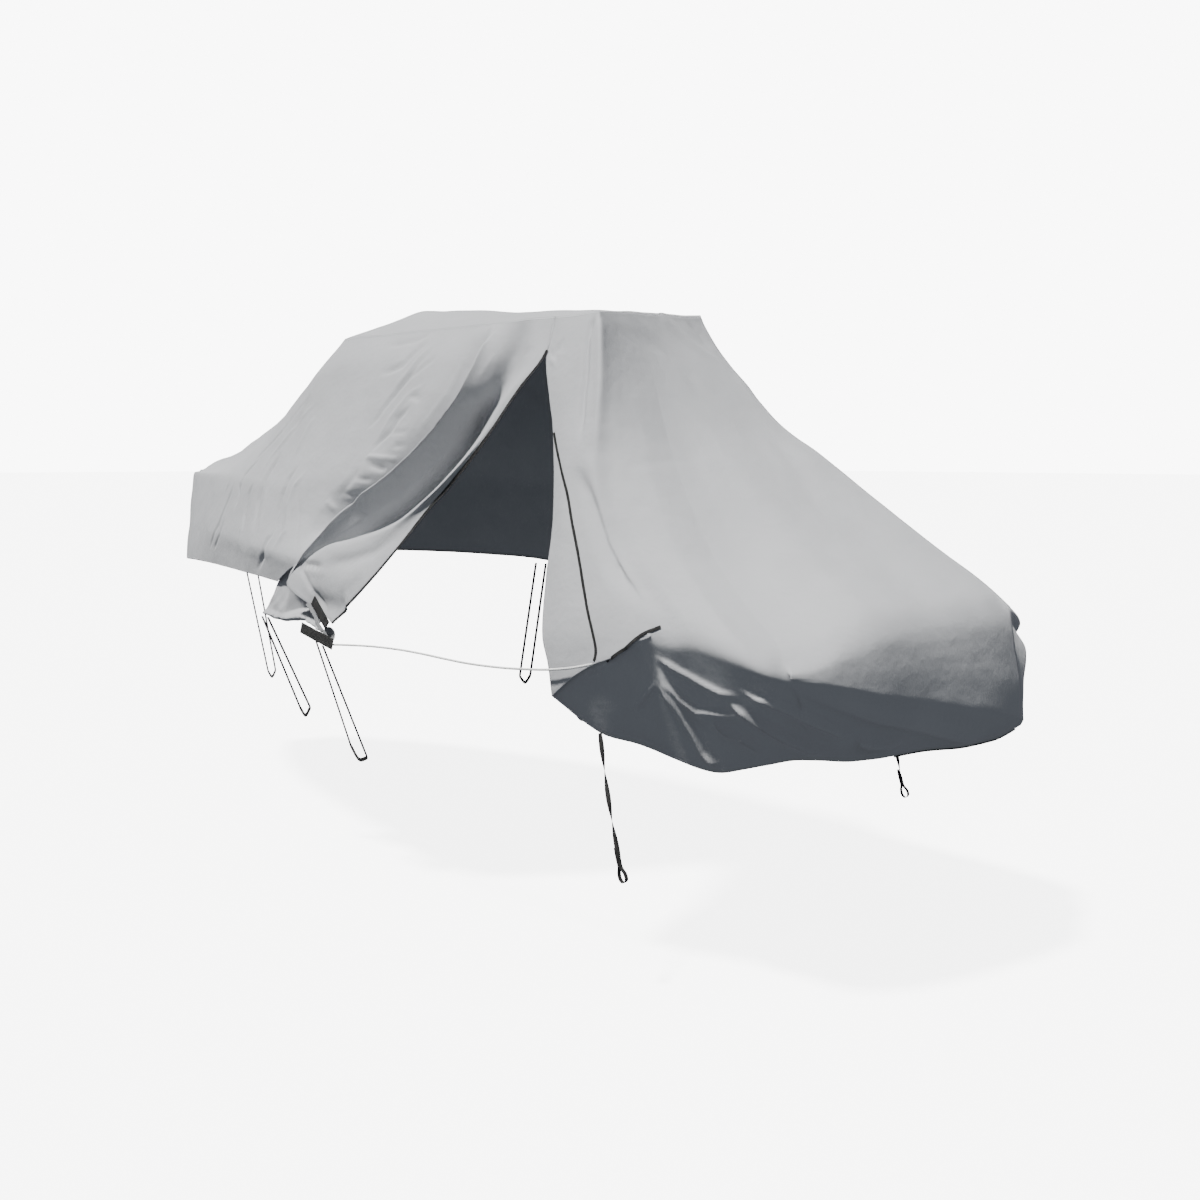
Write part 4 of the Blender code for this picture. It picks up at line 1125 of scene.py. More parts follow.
def grey(value: float, tint: Triple = (1.0, 1.0, 1.0)) -> Colour:
    """Linear grey with a tint, as a colour with alpha."""
    return (value * tint[0], value * tint[1], value * tint[2], 1.0)


@dataclass(frozen=True)
class ClothFinish:
    """Coated polyester: plain weave, fine crinkle, uneven fading, stitched hems and seams."""

    colour: Triple = (0.371, 0.378, 0.392)
    thread_pitch: float = 0.0011
    stitch_pitch: float = 0.0045
    hem_stitch: float = 0.022
    seam_rows: tuple[float, float] = (0.003, 0.012)
    seam_width: float = 0.015

    def build(self) -> Material:
        """Make the material.

        Returns:
            The cloth's material, which reads the UV maps "weave", "hem" and "seam".
        """
        tree = ShaderTree("grey_cover_cloth", 0.86)
        tree.shader.inputs["Sheen Weight"].default_value = 0.09
        tree.shader.inputs["Sheen Roughness"].default_value = 0.5
        tree.shader.inputs["Specular IOR Level"].default_value = 0.24
        _, along, across = tree.uv("weave")
        _, hem_run, hem_far = tree.uv("hem")
        _, seam_run, seam_far = tree.uv("seam")
        crinkle = tree.noise(26.0, 4.0, roughness=0.55)
        pucker = tree.noise(7.0, 2.0)
        fading = tree.noise(0.9, 3.0)
        fibre = tree.noise(420.0, 2.0)
        streak = tree.noise(1.0, 2.0, tree.stretched(tree.place, (5.0, 5.0, 0.7)))
        threads = tree.wave(along, self.thread_pitch), tree.wave(across, self.thread_pitch)
        warp = tree.math("MULTIPLY", *threads)
        hem_row = tree.near(hem_far, self.hem_stitch, 0.0022)
        rows = [tree.near(seam_far, row, 0.0020) for row in self.seam_rows]
        dash_hem = tree.ramp(tree.wave(hem_run, self.stitch_pitch), -0.5, 0.3, 0.25, 1.0)
        dash_seam = tree.ramp(tree.wave(seam_run, self.stitch_pitch), -0.5, 0.3, 0.25, 1.0)
        stitch = tree.math("ADD", tree.math("MULTIPLY", hem_row, dash_hem),
                           tree.math("MULTIPLY", tree.math("ADD", rows[0], rows[1]), dash_seam))
        felled = tree.ramp(seam_far, self.seam_width - 0.003, self.seam_width, 1.0, 0.0)
        doubled = tree.ramp(hem_far, self.hem_stitch + 0.002, self.hem_stitch + 0.006, 1.0, 0.0)
        layers = tree.math("ADD", felled, doubled)
        shade = tree.ramp(fading, 0.25, 0.75, 0.955, 1.035)
        shade = tree.math("MULTIPLY", shade, tree.ramp(streak, 0.3, 0.7, 0.985, 1.012))
        shade = tree.math("MULTIPLY", shade, tree.ramp(fibre, 0.2, 0.8, 0.975, 1.02))
        shade = tree.math("MULTIPLY", shade, tree.ramp(hem_far, 0.0, 0.16, 0.95, 1.0))
        scale = tree.tree.nodes.new("ShaderNodeVectorMath")
        scale.operation = "SCALE"
        scale.inputs[0].default_value = self.colour
        tree.put(shade, scale.inputs["Scale"])
        colour = tree.mix(tree.math("MINIMUM", tree.math("MULTIPLY", stitch, 0.55), 1.0),
                          scale.outputs["Vector"], grey(0.26, (0.97, 1.0, 1.04)))
        normal = tree.bump(pucker, 0.006)
        normal = tree.bump(crinkle, 0.0022, normal)
        normal = tree.bump(layers, 0.0012, normal)
        normal = tree.bump(stitch, 0.0006, normal)
        normal = tree.bump(warp, 0.00006, normal)
        return tree.done(colour, normal)


@dataclass(frozen=True)
class WebbingFinish:
    """Woven polyester tape: chevron ribs along it, firmer edges and a little dust."""

    name: str = "black_webbing"
    colour: float = 0.014
    dust: float = 0.045
    rib: float = 0.0022

    def build(self) -> Material:
        """Make the material, which reads the UV map "strip".

        Returns:
            The material.
        """
        tree = ShaderTree(self.name, 0.72)
        tree.shader.inputs["Specular IOR Level"].default_value = 0.35
        _, across, along = tree.uv("strip")
        chevron = tree.math("ADD", along, tree.math("ABSOLUTE", tree.math("PINGPONG", across, 0.003)))
        ribs = tree.wave(chevron, self.rib)
        cords = tree.wave(across, 0.0016)
        weave = tree.math("ADD", ribs, tree.math("MULTIPLY", cords, 0.6))
        wear = tree.ramp(tree.noise(34.0, 4.0), 0.45, 0.75, 0.0, 0.6)
        colour = tree.mix(wear, grey(self.colour), grey(self.dust, (1.0, 0.98, 0.94)))
        normal = tree.bump(weave, 0.0003, tree.bump(tree.noise(60.0, 2.0), 0.0004))
        return tree.done(colour, normal)


@dataclass(frozen=True)
class ToothFinish:
    """Moulded black plastic of the zip's coil, its tone a little uneven at random."""

    def build(self) -> Material:
        """Make the material.

        Returns:
            The material.
        """
        tree = ShaderTree("zip_coil_plastic", 0.38)
        colour = tree.mix(tree.noise(80.0, 2.0), grey(0.010), grey(0.022))
        return tree.done(colour, tree.bump(tree.noise(900.0, 1.0), 0.00005))


@dataclass(frozen=True)
class RopeFinish:
    """Braided cord: crossing strands read from the UV map "strip", with painted shade greying the gaps
    between strands and a little patchy dirt.
    """

    colour: Triple = (0.80, 0.81, 0.80)
    turn: float = 0.012

    def build(self) -> Material:
        """Make the material.

        Returns:
            The material.
        """
        tree = ShaderTree("white_braided_rope", 0.66)
        _, around, along = tree.uv("strip")
        twist = tree.math("MULTIPLY", along, 2 * math.pi / self.turn)
        turns = tree.math("MULTIPLY", around, 6 * math.pi)
        one = tree.math("SINE", tree.math("ADD", twist, turns))
        other = tree.math("SINE", tree.math("SUBTRACT", twist, turns))
        braid = tree.math("MAXIMUM", one, other)
        # painted shade: colour darkened where the braid dips between strands, standing in for the shade in
        # the gaps
        gap = tree.ramp(braid, -0.6, 0.5, 0.45, 0.0)
        # the painted gap shade plus a little real patchy dirt from noise, both mixed towards warm grey
        gap_shade_and_dirt = tree.math("ADD", gap, tree.ramp(tree.noise(9.0, 3.0), 0.5, 0.8, 0.0, 0.16))
        colour = tree.mix(gap_shade_and_dirt, (*self.colour, 1.0), grey(0.30, (1.0, 0.98, 0.93)))
        return tree.done(colour, tree.bump(braid, 0.0008))


@dataclass(frozen=True)
class PatchFinish:
    """Grey reinforcing disc of close-woven tape, with rings of stitches."""

    radius: float
    ring_shares: tuple[float, float] = (0.80, 0.35)
    ring_width: float = 0.0016
    stitches: float = 74.0

    def build(self) -> Material:
        """Make the material, whose rings of stitches are read from the UV map "strip".

        Returns:
            The material.
        """
        tree = ShaderTree("grey_reinforcement", 0.78)
        _, around, out = tree.uv("strip")
        outer, inner = (tree.near(out, self.radius * share, self.ring_width) for share in self.ring_shares)
        turns = tree.math("SINE", tree.math("MULTIPLY", around, self.stitches))
        dashes = tree.ramp(turns, -0.5, 0.3, 0.3, 1.0)
        stitch = tree.math("MULTIPLY", tree.math("ADD", outer, inner), dashes)
        weave = tree.math("MULTIPLY", tree.wave(around, 0.07), tree.wave(out, 0.0024))
        worn = tree.ramp(tree.noise(55.0, 4.0), 0.35, 0.75, 0.0, 0.6)
        base = tree.mix(worn, grey(0.20, (0.97, 1.0, 1.05)), grey(0.27))
        colour = tree.mix(tree.math("MULTIPLY", stitch, 0.6), base, grey(0.32))
        normal = tree.bump(weave, 0.0002, tree.bump(tree.noise(140.0, 3.0), 0.0005))
        return tree.done(colour, tree.bump(stitch, 0.0008, normal))


@dataclass(frozen=True)
class ElasticFinish:
    """Black shirred elastic in the hem, ribbed across its length."""

    def build(self) -> Material:
        """Make the material, which reads the UV map "strip".

        Returns:
            The material.
        """
        tree = ShaderTree("black_hem_elastic", 0.80)
        _, _, along = tree.uv("strip")
        ribs = tree.wave(along, 0.004)
        dust = tree.ramp(tree.noise(40.0, 3.0), 0.45, 0.8, 0.0, 0.5)
        return tree.done(tree.mix(dust, grey(0.016), grey(0.05)), tree.bump(ribs, 0.0008))


@dataclass(frozen=True)
class FloorFinish:
    """Plain pale studio floor with the faintest mottling."""

    colour: float = 0.80
    glow: float = 5.5

    def build(self) -> Material:
        """Make the material, which glows as a lit studio floor does so that its shadow stays pale.

        Returns:
            The material.
        """
        tree = ShaderTree("pale_floor", 0.95)
        tree.shader.inputs["Emission Color"].default_value = grey(1.0)
        tree.shader.inputs["Emission Strength"].default_value = self.glow
        tree.shader.inputs["Specular IOR Level"].default_value = 0.0
        shade = tree.noise(0.35, 3.0)
        colour = tree.mix(shade, grey(self.colour * 0.995), grey(self.colour * 1.005))
        return tree.done(colour, tree.bump(tree.noise(30.0, 2.0), 0.0004))


@dataclass(frozen=True)
class Finishes:
    """Every material of the cover."""

    cloth: Material
    webbing: Material
    tape: Material
    coil: Material
    rope: Material
    patch: Material
    elastic: Material

    @classmethod
    def build(cls) -> "Finishes":
        """Make every material.

        Returns:
            The materials by their use.
        """
        return cls(
            cloth=ClothFinish().build(),
            webbing=WebbingFinish().build(),
            tape=WebbingFinish("black_zip_tape", colour=0.012, dust=0.03, rib=0.0016).build(),
            coil=ToothFinish().build(),
            rope=RopeFinish().build(),
            patch=PatchFinish(DISC_RADIUS).build(),
            elastic=ElasticFinish().build(),
        )


# ---------------- meshes
def put_in(name: str, points: np.ndarray, faces: list, maps: dict[str, np.ndarray],
           finish: Material) -> bpy.types.Object:
    """Mesh object at the origin from points, faces and one pair of numbers for each face corner.

    Args:
        name: the object's name.
        points: the vertices.
        faces: vertex numbers of each face.
        maps: UV maps by name, each with one row for each face corner in the faces' order.
        finish: the material.

    Returns:
        The object, smooth shaded and in the scene.
    """
    mesh = bpy.data.meshes.new(name)
    mesh.from_pydata(points.tolist(), [], faces)
    for title, values in maps.items():
        layer = mesh.uv_layers.new(name=title)
        layer.data.foreach_set("uv", np.ascontiguousarray(values, dtype=np.float32).reshape(-1))
    mesh.materials.append(finish)
    mesh.shade_smooth()
    item = bpy.data.objects.new(name, mesh)
    bpy.context.scene.collection.objects.link(item)
    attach(item, BODY)
    return item


def path_frames(path: np.ndarray, facing: Triple | np.ndarray) -> tuple[np.ndarray, np.ndarray]:
    """Unit directions across a path and out of its face, which turns towards a direction.

    Args:
        path: the path's points.
        facing: one direction for the whole path, or one for each point.

    Returns:
        The directions across and out of the face, one row for each point.
    """
    tangent = unit(np.gradient(path, axis=0))
    across = unit(np.cross(tangent, np.broadcast_to(np.array(facing, dtype=float), path.shape)))
    return across, np.cross(across, tangent)


def paired(*corners: tuple[np.ndarray, np.ndarray]) -> np.ndarray:
    """The two numbers of each of a grid's face corners, face by face, from two grids for each corner."""
    return np.stack([np.stack(corner, axis=-1) for corner in corners], axis=2).reshape(-1, 2)


def swept(path: np.ndarray, across: np.ndarray, normal: np.ndarray,
          outline: np.ndarray) -> tuple[np.ndarray, list, np.ndarray]:
    """Closed tube: an outline carried along a path, its ends closed by one face each.

    Each point is the path's point plus the outline's two numbers times the directions
    across and out of the face.

    Args:
        path: the path's points.
        across: directions across the path.
        normal: directions out of its face.
        outline: pairs of lengths across and out, in order round the section.

    Returns:
        The points, the faces, and for each face corner its length round the section and
        along the path.
    """
    ring = path[:, None] + outline[None, :, :1] * across[:, None] + outline[None, :, 1:] * normal[:, None]
    steps, sides = ring.shape[:2]
    index = np.arange(steps * sides).reshape(steps, sides)
    following = np.roll(index, -1, axis=1)
    quads = np.stack((index[:-1], following[:-1], following[1:], index[1:]), axis=-1).reshape(-1, 4)
    along = travelled(path)
    edge = np.linalg.norm(np.roll(outline, -1, axis=0) - outline, axis=1)
    around = np.concatenate(([0.0], np.cumsum(edge)))
    u0 = np.broadcast_to(around[:-1], (steps - 1, sides))
    u1 = np.broadcast_to(around[1:], (steps - 1, sides))
    v0 = np.broadcast_to(along[:-1, None], (steps - 1, sides))
    v1 = np.broadcast_to(along[1:, None], (steps - 1, sides))
    corners = paired((u0, v0), (u1, v0), (u1, v1), (u0, v1))
    area = np.sum(outline[:, 0] * np.roll(outline[:, 1], -1) - outline[:, 1] * np.roll(outline[:, 0], -1))
    caps = [index[0, ::-1].tolist(), index[-1].tolist()]
    faces = quads.tolist() + caps
    if area < 0:
        faces = [face[::-1] for face in faces]
        corners = corners.reshape(-1, 4, 2)[:, ::-1].reshape(-1, 2)
    ends = np.concatenate((np.zeros((sides, 2)), np.tile((0.0, along[-1]), (sides, 1))))
    return ring.reshape(-1, 3), faces, np.concatenate((corners, ends))


def strip_piece(name: str, path: np.ndarray, frames: tuple[np.ndarray, np.ndarray], outline: np.ndarray,
                finish: Material) -> bpy.types.Object:
    """Object of one outline carried along a path, with the UV map "strip".

    Args:
        name: the object's name.
        path: the path's points.
        frames: directions across the path and out of its face.
        outline: the section.
        finish: the material.

    Returns:
        The object.
    """
    points, faces, strip = swept(path, *frames, outline)
    return put_in(name, points, faces, {"strip": strip}, finish)


def flat_outline(width: float, thickness: float) -> np.ndarray:
    """Section of a tape: flat faces and rounded edges, as lengths across and out.

    Args:
        width: the tape's width.
        thickness: its thickness.

    Returns:
        Pairs of lengths, in order round.
    """
    half, round_off = width / 2, thickness / 2
    angle = np.linspace(-math.pi / 2, math.pi / 2, 5)
    right = np.stack((half - round_off + round_off * np.cos(angle), round_off * np.sin(angle)), axis=-1)
    top = np.stack((np.linspace(half * 0.66, -half * 0.66, 5), np.full(5, round_off)), axis=-1)
    return np.concatenate((right, top, -right, -top))


def round_outline(diameter: float, sides: int) -> np.ndarray:
    """Circle as lengths across and out."""
    angle = np.linspace(0.0, 2 * math.pi, sides, endpoint=False)
    return np.stack((np.cos(angle), np.sin(angle)), axis=-1) * diameter / 2


class Carrier:
    """Finished cloth that other pieces are laid on, found by its nearest place."""

    def __init__(self, cloth: Cloth) -> None:
        """Keep the cloth as a search tree."""
        self.tree = BVHTree.FromPolygons(cloth.points.tolist(), cloth.faces.tolist())

    def laid(self, path: np.ndarray, lift: float) -> tuple[np.ndarray, np.ndarray]:
        """Path moved to the cloth's outer side.

        Args:
            path: points near the cloth.
            lift: height over the cloth.

        Returns:
            The points, and the cloth's outward normals there.
        """
        found = [self.tree.find_nearest(point) for point in path.tolist()]
        place = np.array([tuple(hit[0]) for hit in found])
        normal = np.array([tuple(hit[1]) for hit in found])
        normal = normal * np.where(np.sum(normal * outward(place), axis=1) < 0, -1.0, 1.0)[:, None]
        return place + normal * lift, normal

    def seen(self, camera: PhotoCamera, pixels: tuple[tuple[float, float], ...]) -> np.ndarray:
        """The cloth's places that the camera sees at some pixels.

        Args:
            camera: the photograph's camera.
            pixels: the pixels.

        Returns:
            One point for each pixel that shows the cloth.
        """
        start = Vector(camera.place)
        rays = camera.rays(np.array(pixels, dtype=float))
        hits = [self.tree.ray_cast(start, Vector(ray))[0] for ray in rays.tolist()]
        return np.array([tuple(hit) for hit in hits if hit is not None])


def even(path: np.ndarray, count: int) -> np.ndarray:
    """Points evenly spaced along a path of straight runs."""
    runs = travelled(path)
    return between(path, runs, np.linspace(0.0, runs[-1], count))


def smoothed(path: np.ndarray, passes: int) -> np.ndarray:
    """Path whose inner points have moved to the mean of themselves and their neighbours.

    Args:
        path: the path's points.
        passes: how often they are moved.

    Returns:
        The smoother path.
    """
    for _ in range(passes):
        path = np.concatenate((path[:1], (path[:-2] + 2 * path[1:-1] + path[2:]) / 4, path[-1:]))
    return path


# ---------------- cloth pieces
@dataclass(frozen=True)
class Rounding:
    """Seam lines over which the cloth turns softly: points on each, distance, and how many passes."""

    seams: tuple[tuple[SeamLine, int], ...]
    radius: float
    passes: int


@dataclass
class ClothPiece:
    """One sewn piece of the cover: which CAD nodes it shows, its flat size and its panels."""

    name: str
    nodes: tuple[str, ...]
    flat: tuple[float, float]
    area: float
    thickness: float = 0.0016
    cloth: Cloth | None = None
    roundings: ClassVar[tuple[Rounding, ...]] = ()

    def panels(self) -> list[Panel]:
        """The piece's panels, as grids that share the points of common seams."""
        raise NotImplementedError

    def sew(self) -> None:
        """Join the panels and round them."""
        self.cloth = Cloth.sewn(self.panels())
        for rounding in self.roundings:
            lines = [seam.points(count) for seam, count in rounding.seams]
            self.cloth.soften(lines, rounding.radius, rounding.passes)

    def dress(self, finish: Material) -> bpy.types.Object:
        """Args:
            finish: the cloth's material.

        Returns:
            The object.
        """
        cloth = self.cloth
        maps = {"weave": cloth.weave, "hem": cloth.hem, "seam": cloth.seam}
        maps = {title: values.reshape(-1, 2) for title, values in maps.items()}
        item = put_in(self.name, cloth.points, cloth.faces.tolist(), maps, finish)
        solid = item.modifiers.new("thickness", "SOLIDIFY")
        solid.thickness = self.thickness
        solid.offset = -1.0
        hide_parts(*self.nodes)
        log.info("%s: %d points, %d faces", self.name, len(cloth.points), len(cloth.faces))
        return item


RIDGE_POINTS = 170
ROOF_FORWARD_POINTS = 111
ROOF_DOOR_POINTS = 33
QUARTER_WIDTH_POINTS = 60
ROOF_WIDTH_POINTS = 200
QUARTER_POINTS = 100
QUARTER_TOP_POINTS = 80
FACE_POINTS = ROOF_WIDTH_POINTS + 1 - QUARTER_TOP_POINTS
FACE_DEPTH_POINTS = 20
STARBOARD_ROOF_FORWARD_POINTS = 96
PORT_ROOF_POINTS = ROOF_FORWARD_POINTS + ROOF_DOOR_POINTS + QUARTER_WIDTH_POINTS - 2
STARBOARD_ROOF_AFT_POINTS = PORT_ROOF_POINTS + 1 - STARBOARD_ROOF_FORWARD_POINTS


class Roof(ClothPiece):
    """Peaked top panel, sewn to its neighbours all round."""

    def panels(self) -> list[Panel]:
        """The one panel between the roof's four edges.

        Returns:
            The panel.
        """
        port = chain(
            ROOF_PORT_FORWARD.points(ROOF_FORWARD_POINTS),
            ROOF_PORT_DOOR.points(ROOF_DOOR_POINTS),
            ROOF_PORT_AFT.points(QUARTER_WIDTH_POINTS),
        )
        starboard = chain(
            ROOF_STARBOARD_FORWARD.points(STARBOARD_ROOF_FORWARD_POINTS),
            ROOF_STARBOARD_AFT.points(STARBOARD_ROOF_AFT_POINTS),
        )
        ends = ROOF_FORWARD.points(ROOF_WIDTH_POINTS), ROOF_AFT.points(ROOF_WIDTH_POINTS)
        return [Panel(Layer.ROOF, coons(port, starboard, *ends), sewn=tuple(Edge))]


class BowSlope(ClothPiece):
    """Slope from the roof down to the nose, between the two ridges."""

    def panels(self) -> list[Panel]:
        """The one panel between the ridges.

        Returns:
            The panel.
        """
        nose = BOW_NOSE_PORT.points(ROOF_WIDTH_POINTS // 2 + 1)
        other = BOW_NOSE_PORT.mirrored().points(ROOF_WIDTH_POINTS // 2)
        grid = coons(
            RIDGE_PORT.points(RIDGE_POINTS),
            RIDGE_STARBOARD.points(RIDGE_POINTS),
            ROOF_FORWARD.points(ROOF_WIDTH_POINTS),
            chain(nose, other[::-1]),
        )
        return [Panel(Layer.BOW, grid, sewn=tuple(Edge))]


@dataclass
class PortSide(ClothPiece):
    """Port side from the stem to the doorway, with the doorway's flap folded back over itself."""

    side_depth: int = 80
    lower_depth: int = 55
    flap_width: int = 60
    valley_depth: float = 0.15
    valley_step: float = 0.040
    valley_reach: float = 0.150
    valley_starts: tuple[float, float] = (-0.15, 6.0)
    valley_ends: tuple[float, float] = (1.0, -0.8)
    flap_points_below_rail: int = 37
    roundings = (
        Rounding(((RAIL_PORT, 200),), 0.045, 20),
        Rounding(((CREST_UPPER, 100), (CREST_LOWER, 60)), 0.010, 1),
    )

    def valley(self, grid: np.ndarray, strength: np.ndarray) -> np.ndarray:
        """The grid, sunk in forward of the flap's crest.

        Its depth is the strength * (1 - exp(-(s / step) ** 2)) * exp(-(s / reach) ** 2), where s
        is the length of cloth from the crest.

        Args:
            grid: a panel whose last row lies along the crest.
            strength: greatest depth for each of the grid's columns.

        Returns:
            The moved points.
        """
        run = run_lengths(grid, 0)
        run = run[-1:] - run
        depth = (1 - np.exp(-((run / self.valley_step) ** 2))) * np.exp(-((run / self.valley_reach) ** 2))
        return grid - outward(grid) * (strength[None, :] * depth)[..., None]

    def panels(self) -> list[Panel]:
        """Upper and lower side panels and the flap, which starts at their aft end.

        Returns:
            The panels.
        """
        ridge = RIDGE_PORT.backwards().points(RIDGE_POINTS)
        top = chain(ridge, ROOF_PORT_FORWARD.points(ROOF_FORWARD_POINTS))
        rail = RAIL_PORT.points(len(top))
        crest_upper = CREST_UPPER.points(self.side_depth)
        crest_lower = CREST_LOWER.points(self.lower_depth)
        upper = coons(top, rail, BOW_NOSE_PORT.points(self.side_depth), crest_upper)
        lower = coons(rail, HEM_BOW.points(len(top)), STEM.points(self.lower_depth), crest_lower)
        grow = np.clip(np.linspace(*self.valley_starts, self.side_depth), 0.0, 1.0)
        fade = np.clip(np.linspace(*self.valley_ends, self.lower_depth), 0.0, 1.0)
        upper = self.valley(upper, self.valley_depth * eased(grow))
        lower = self.valley(lower, self.valley_depth * eased(fade))
        crest = chain(crest_upper, crest_lower[:self.flap_points_below_rail])
        trough, lip, edge = (seam.points(len(crest)) for seam in (FLAP_TROUGH, FLAP_LIP, DOOR_FORWARD_EDGE))
        flap = loft([crest, (crest + trough) / 2, trough, lip, edge], self.flap_width)
        flap = turned_in(turned_in(flap, Edge.LAST_COLUMN), Edge.LAST_ROW)
        lower = turned_in(lower, Edge.LAST_COLUMN)
        return [
            Panel(Layer.SIDE, upper, sewn=(Edge.FIRST_COLUMN, Edge.FIRST_ROW)),
            Panel(Layer.SIDE, lower, hem=Edge.LAST_COLUMN, sewn=(Edge.FIRST_ROW,)),
            Panel(Layer.FLAP, flap, hem=Edge.LAST_COLUMN, sewn=(Edge.FIRST_ROW,)),
        ]


@dataclass
class Gather(ClothPiece):
    """Corner of the hem that is drawn in under the folded flap."""

    long: int = 60
    deep: int = 50
    fan_height: float = 0.009
    fan_slant: float = 0.30
    knot_height: float = 0.004
    pocket_depth: float = 0.120
    pocket_along: tuple[float, ...] = (0.34, 0.44, 0.90, 0.99)
    pocket_down: tuple[float, ...] = (0.10, 0.84, 0.90)
    roll_height: float = 0.022
    roll_place: float = 0.93
    roll_width: float = 0.055
    hem_radius: float = 0.009

    def swell(self) -> np.ndarray:
        """Height over the smooth surface at each point, with u along the hem and v down to it.

        A fan of sines starts at the drawn-in corner, small knots grow towards the hem, a pocket
        is sunk in over it, and the hem is a thick roll of uneven height.

        Returns:
            One height for each point.
        """
        u = np.linspace(0.0, 1.0, self.long)[:, None]
        v = np.linspace(0.0, 1.0, self.deep)[None, :]
        lean = u - self.fan_slant * v
        fan = 0.65 * np.sin(lean * 16.0 + 0.4) + 0.35 * np.sin(lean * 29.0 + 2.1 + 2.0 * v)
        knots = np.sin(u * 26.0 + 0.8) * np.sin(v * 15.0 + u * 9.0)
        height = self.fan_height * fan * np.sin(math.pi * v) * np.clip(1.7 - 2.2 * u, 0.2, 1.0)
        height = height + self.knot_height * knots * np.clip(v * 2.0 - 0.6, 0.0, 1.0)
        pocket = np.interp(u, self.pocket_along, (0.0, 1.0, 1.0, 0.0))
        pocket = pocket * np.interp(v, self.pocket_down, (0.0, 1.0, 0.0))
        crumple = 1 + 0.45 * np.sin(u * 47.0) * np.sin(u * 13.0 + 2.0)
        roll = np.exp(-(((v - self.roll_place) / self.roll_width) ** 2)) * crumple
        return height - self.pocket_depth * pocket + self.roll_height * roll

    def panels(self) -> list[Panel]:
        """The one panel, puckered from its aft corner and hemmed below.

        Returns:
            The panel.
        """
        grid = coons(
            GATHER_TOP.points(self.long),
            GATHER_FOOT.points(self.long),
            GATHER_FORWARD.points(self.deep),
            GATHER_AFT.points(self.deep),
        )
        grid = grid + outward(grid) * self.swell()[..., None]
        grid = turned_in(grid, Edge.LAST_COLUMN, radius=self.hem_radius)
        return [Panel(Layer.GATHER, grid, hem=Edge.LAST_COLUMN, sewn=(Edge.FIRST_COLUMN,))]


@dataclass
class AftSide(ClothPiece):
    """Cloth aft of the doorway: quarter, slope, face over the motor and the skirt drawn in below."""

    skirt_depth: int = 70
    tuck: float = 0.014
    tuck_fade: float = 4.0
    roundings = (
        Rounding(((QUARTER_BREAK, 160),), 0.060, 40),
        Rounding(((QUARTER_TOP, 60),), 0.035, 24),
        Rounding(((FACE_TOP_PORT, 80),), 0.060, 40),
        Rounding(((FACE_FOOT_PORT, 80),), 0.012, 3),
        Rounding(((STERN_CORNER_PORT, 6),), 0.050, 12),
    )

    def panels(self) -> list[Panel]:
        """Four panels that share their seams, the skirt tucked behind the flap's foot.

        Returns:
            The panels.
        """
        foot = AFT_FLAP_FOOT.points(QUARTER_WIDTH_POINTS)
        quarter = coons(
            DOOR_AFT_EDGE.points(QUARTER_POINTS),
            QUARTER_BREAK.points(QUARTER_POINTS),
            ROOF_PORT_AFT.points(QUARTER_WIDTH_POINTS),
            foot,
        )
        quarter = turned_in(turned_in(quarter, Edge.FIRST_COLUMN), Edge.LAST_ROW)
        quarter_top = QUARTER_TOP.points(QUARTER_TOP_POINTS)
        face_top = FACE_TOP_PORT.points(FACE_POINTS)
        face_foot = FACE_FOOT_PORT.points(FACE_POINTS)
        slope = coons(
            ROOF_AFT.points(ROOF_WIDTH_POINTS),
            chain(quarter_top, face_top),
            QUARTER_BREAK.points(QUARTER_POINTS),
            STERN_RIDGE.points(QUARTER_POINTS),
        )
        sides = (seam.points(FACE_DEPTH_POINTS) for seam in (STERN_CORNER_PORT, FACE_SIDE))
        face = coons(face_top, face_foot, *sides)
        fade = np.clip(np.linspace(self.tuck_fade, 0.0, QUARTER_WIDTH_POINTS), 0.0, 1.0)[:, None]
        tucked = foot - outward(foot) * self.tuck * eased(fade)
        top = chain(tucked, quarter_top, face_foot)
        hem = STERN_HEM_PORT.points(len(top))
        start = np.linspace(top[0], hem[0], self.skirt_depth)
        end = np.linspace(top[-1], hem[-1], self.skirt_depth)
        skirt = turned_in(coons(top, hem, start, end), Edge.LAST_COLUMN)
        return [
            Panel(Layer.QUARTER, quarter, hem=Edge.FIRST_COLUMN, sewn=(Edge.FIRST_ROW,)),
            Panel(Layer.SLOPE, slope, sewn=(Edge.FIRST_COLUMN, Edge.LAST_ROW)),
            Panel(Layer.FACE, face),
            Panel(Layer.SKIRT, skirt, hem=Edge.LAST_COLUMN),
        ]


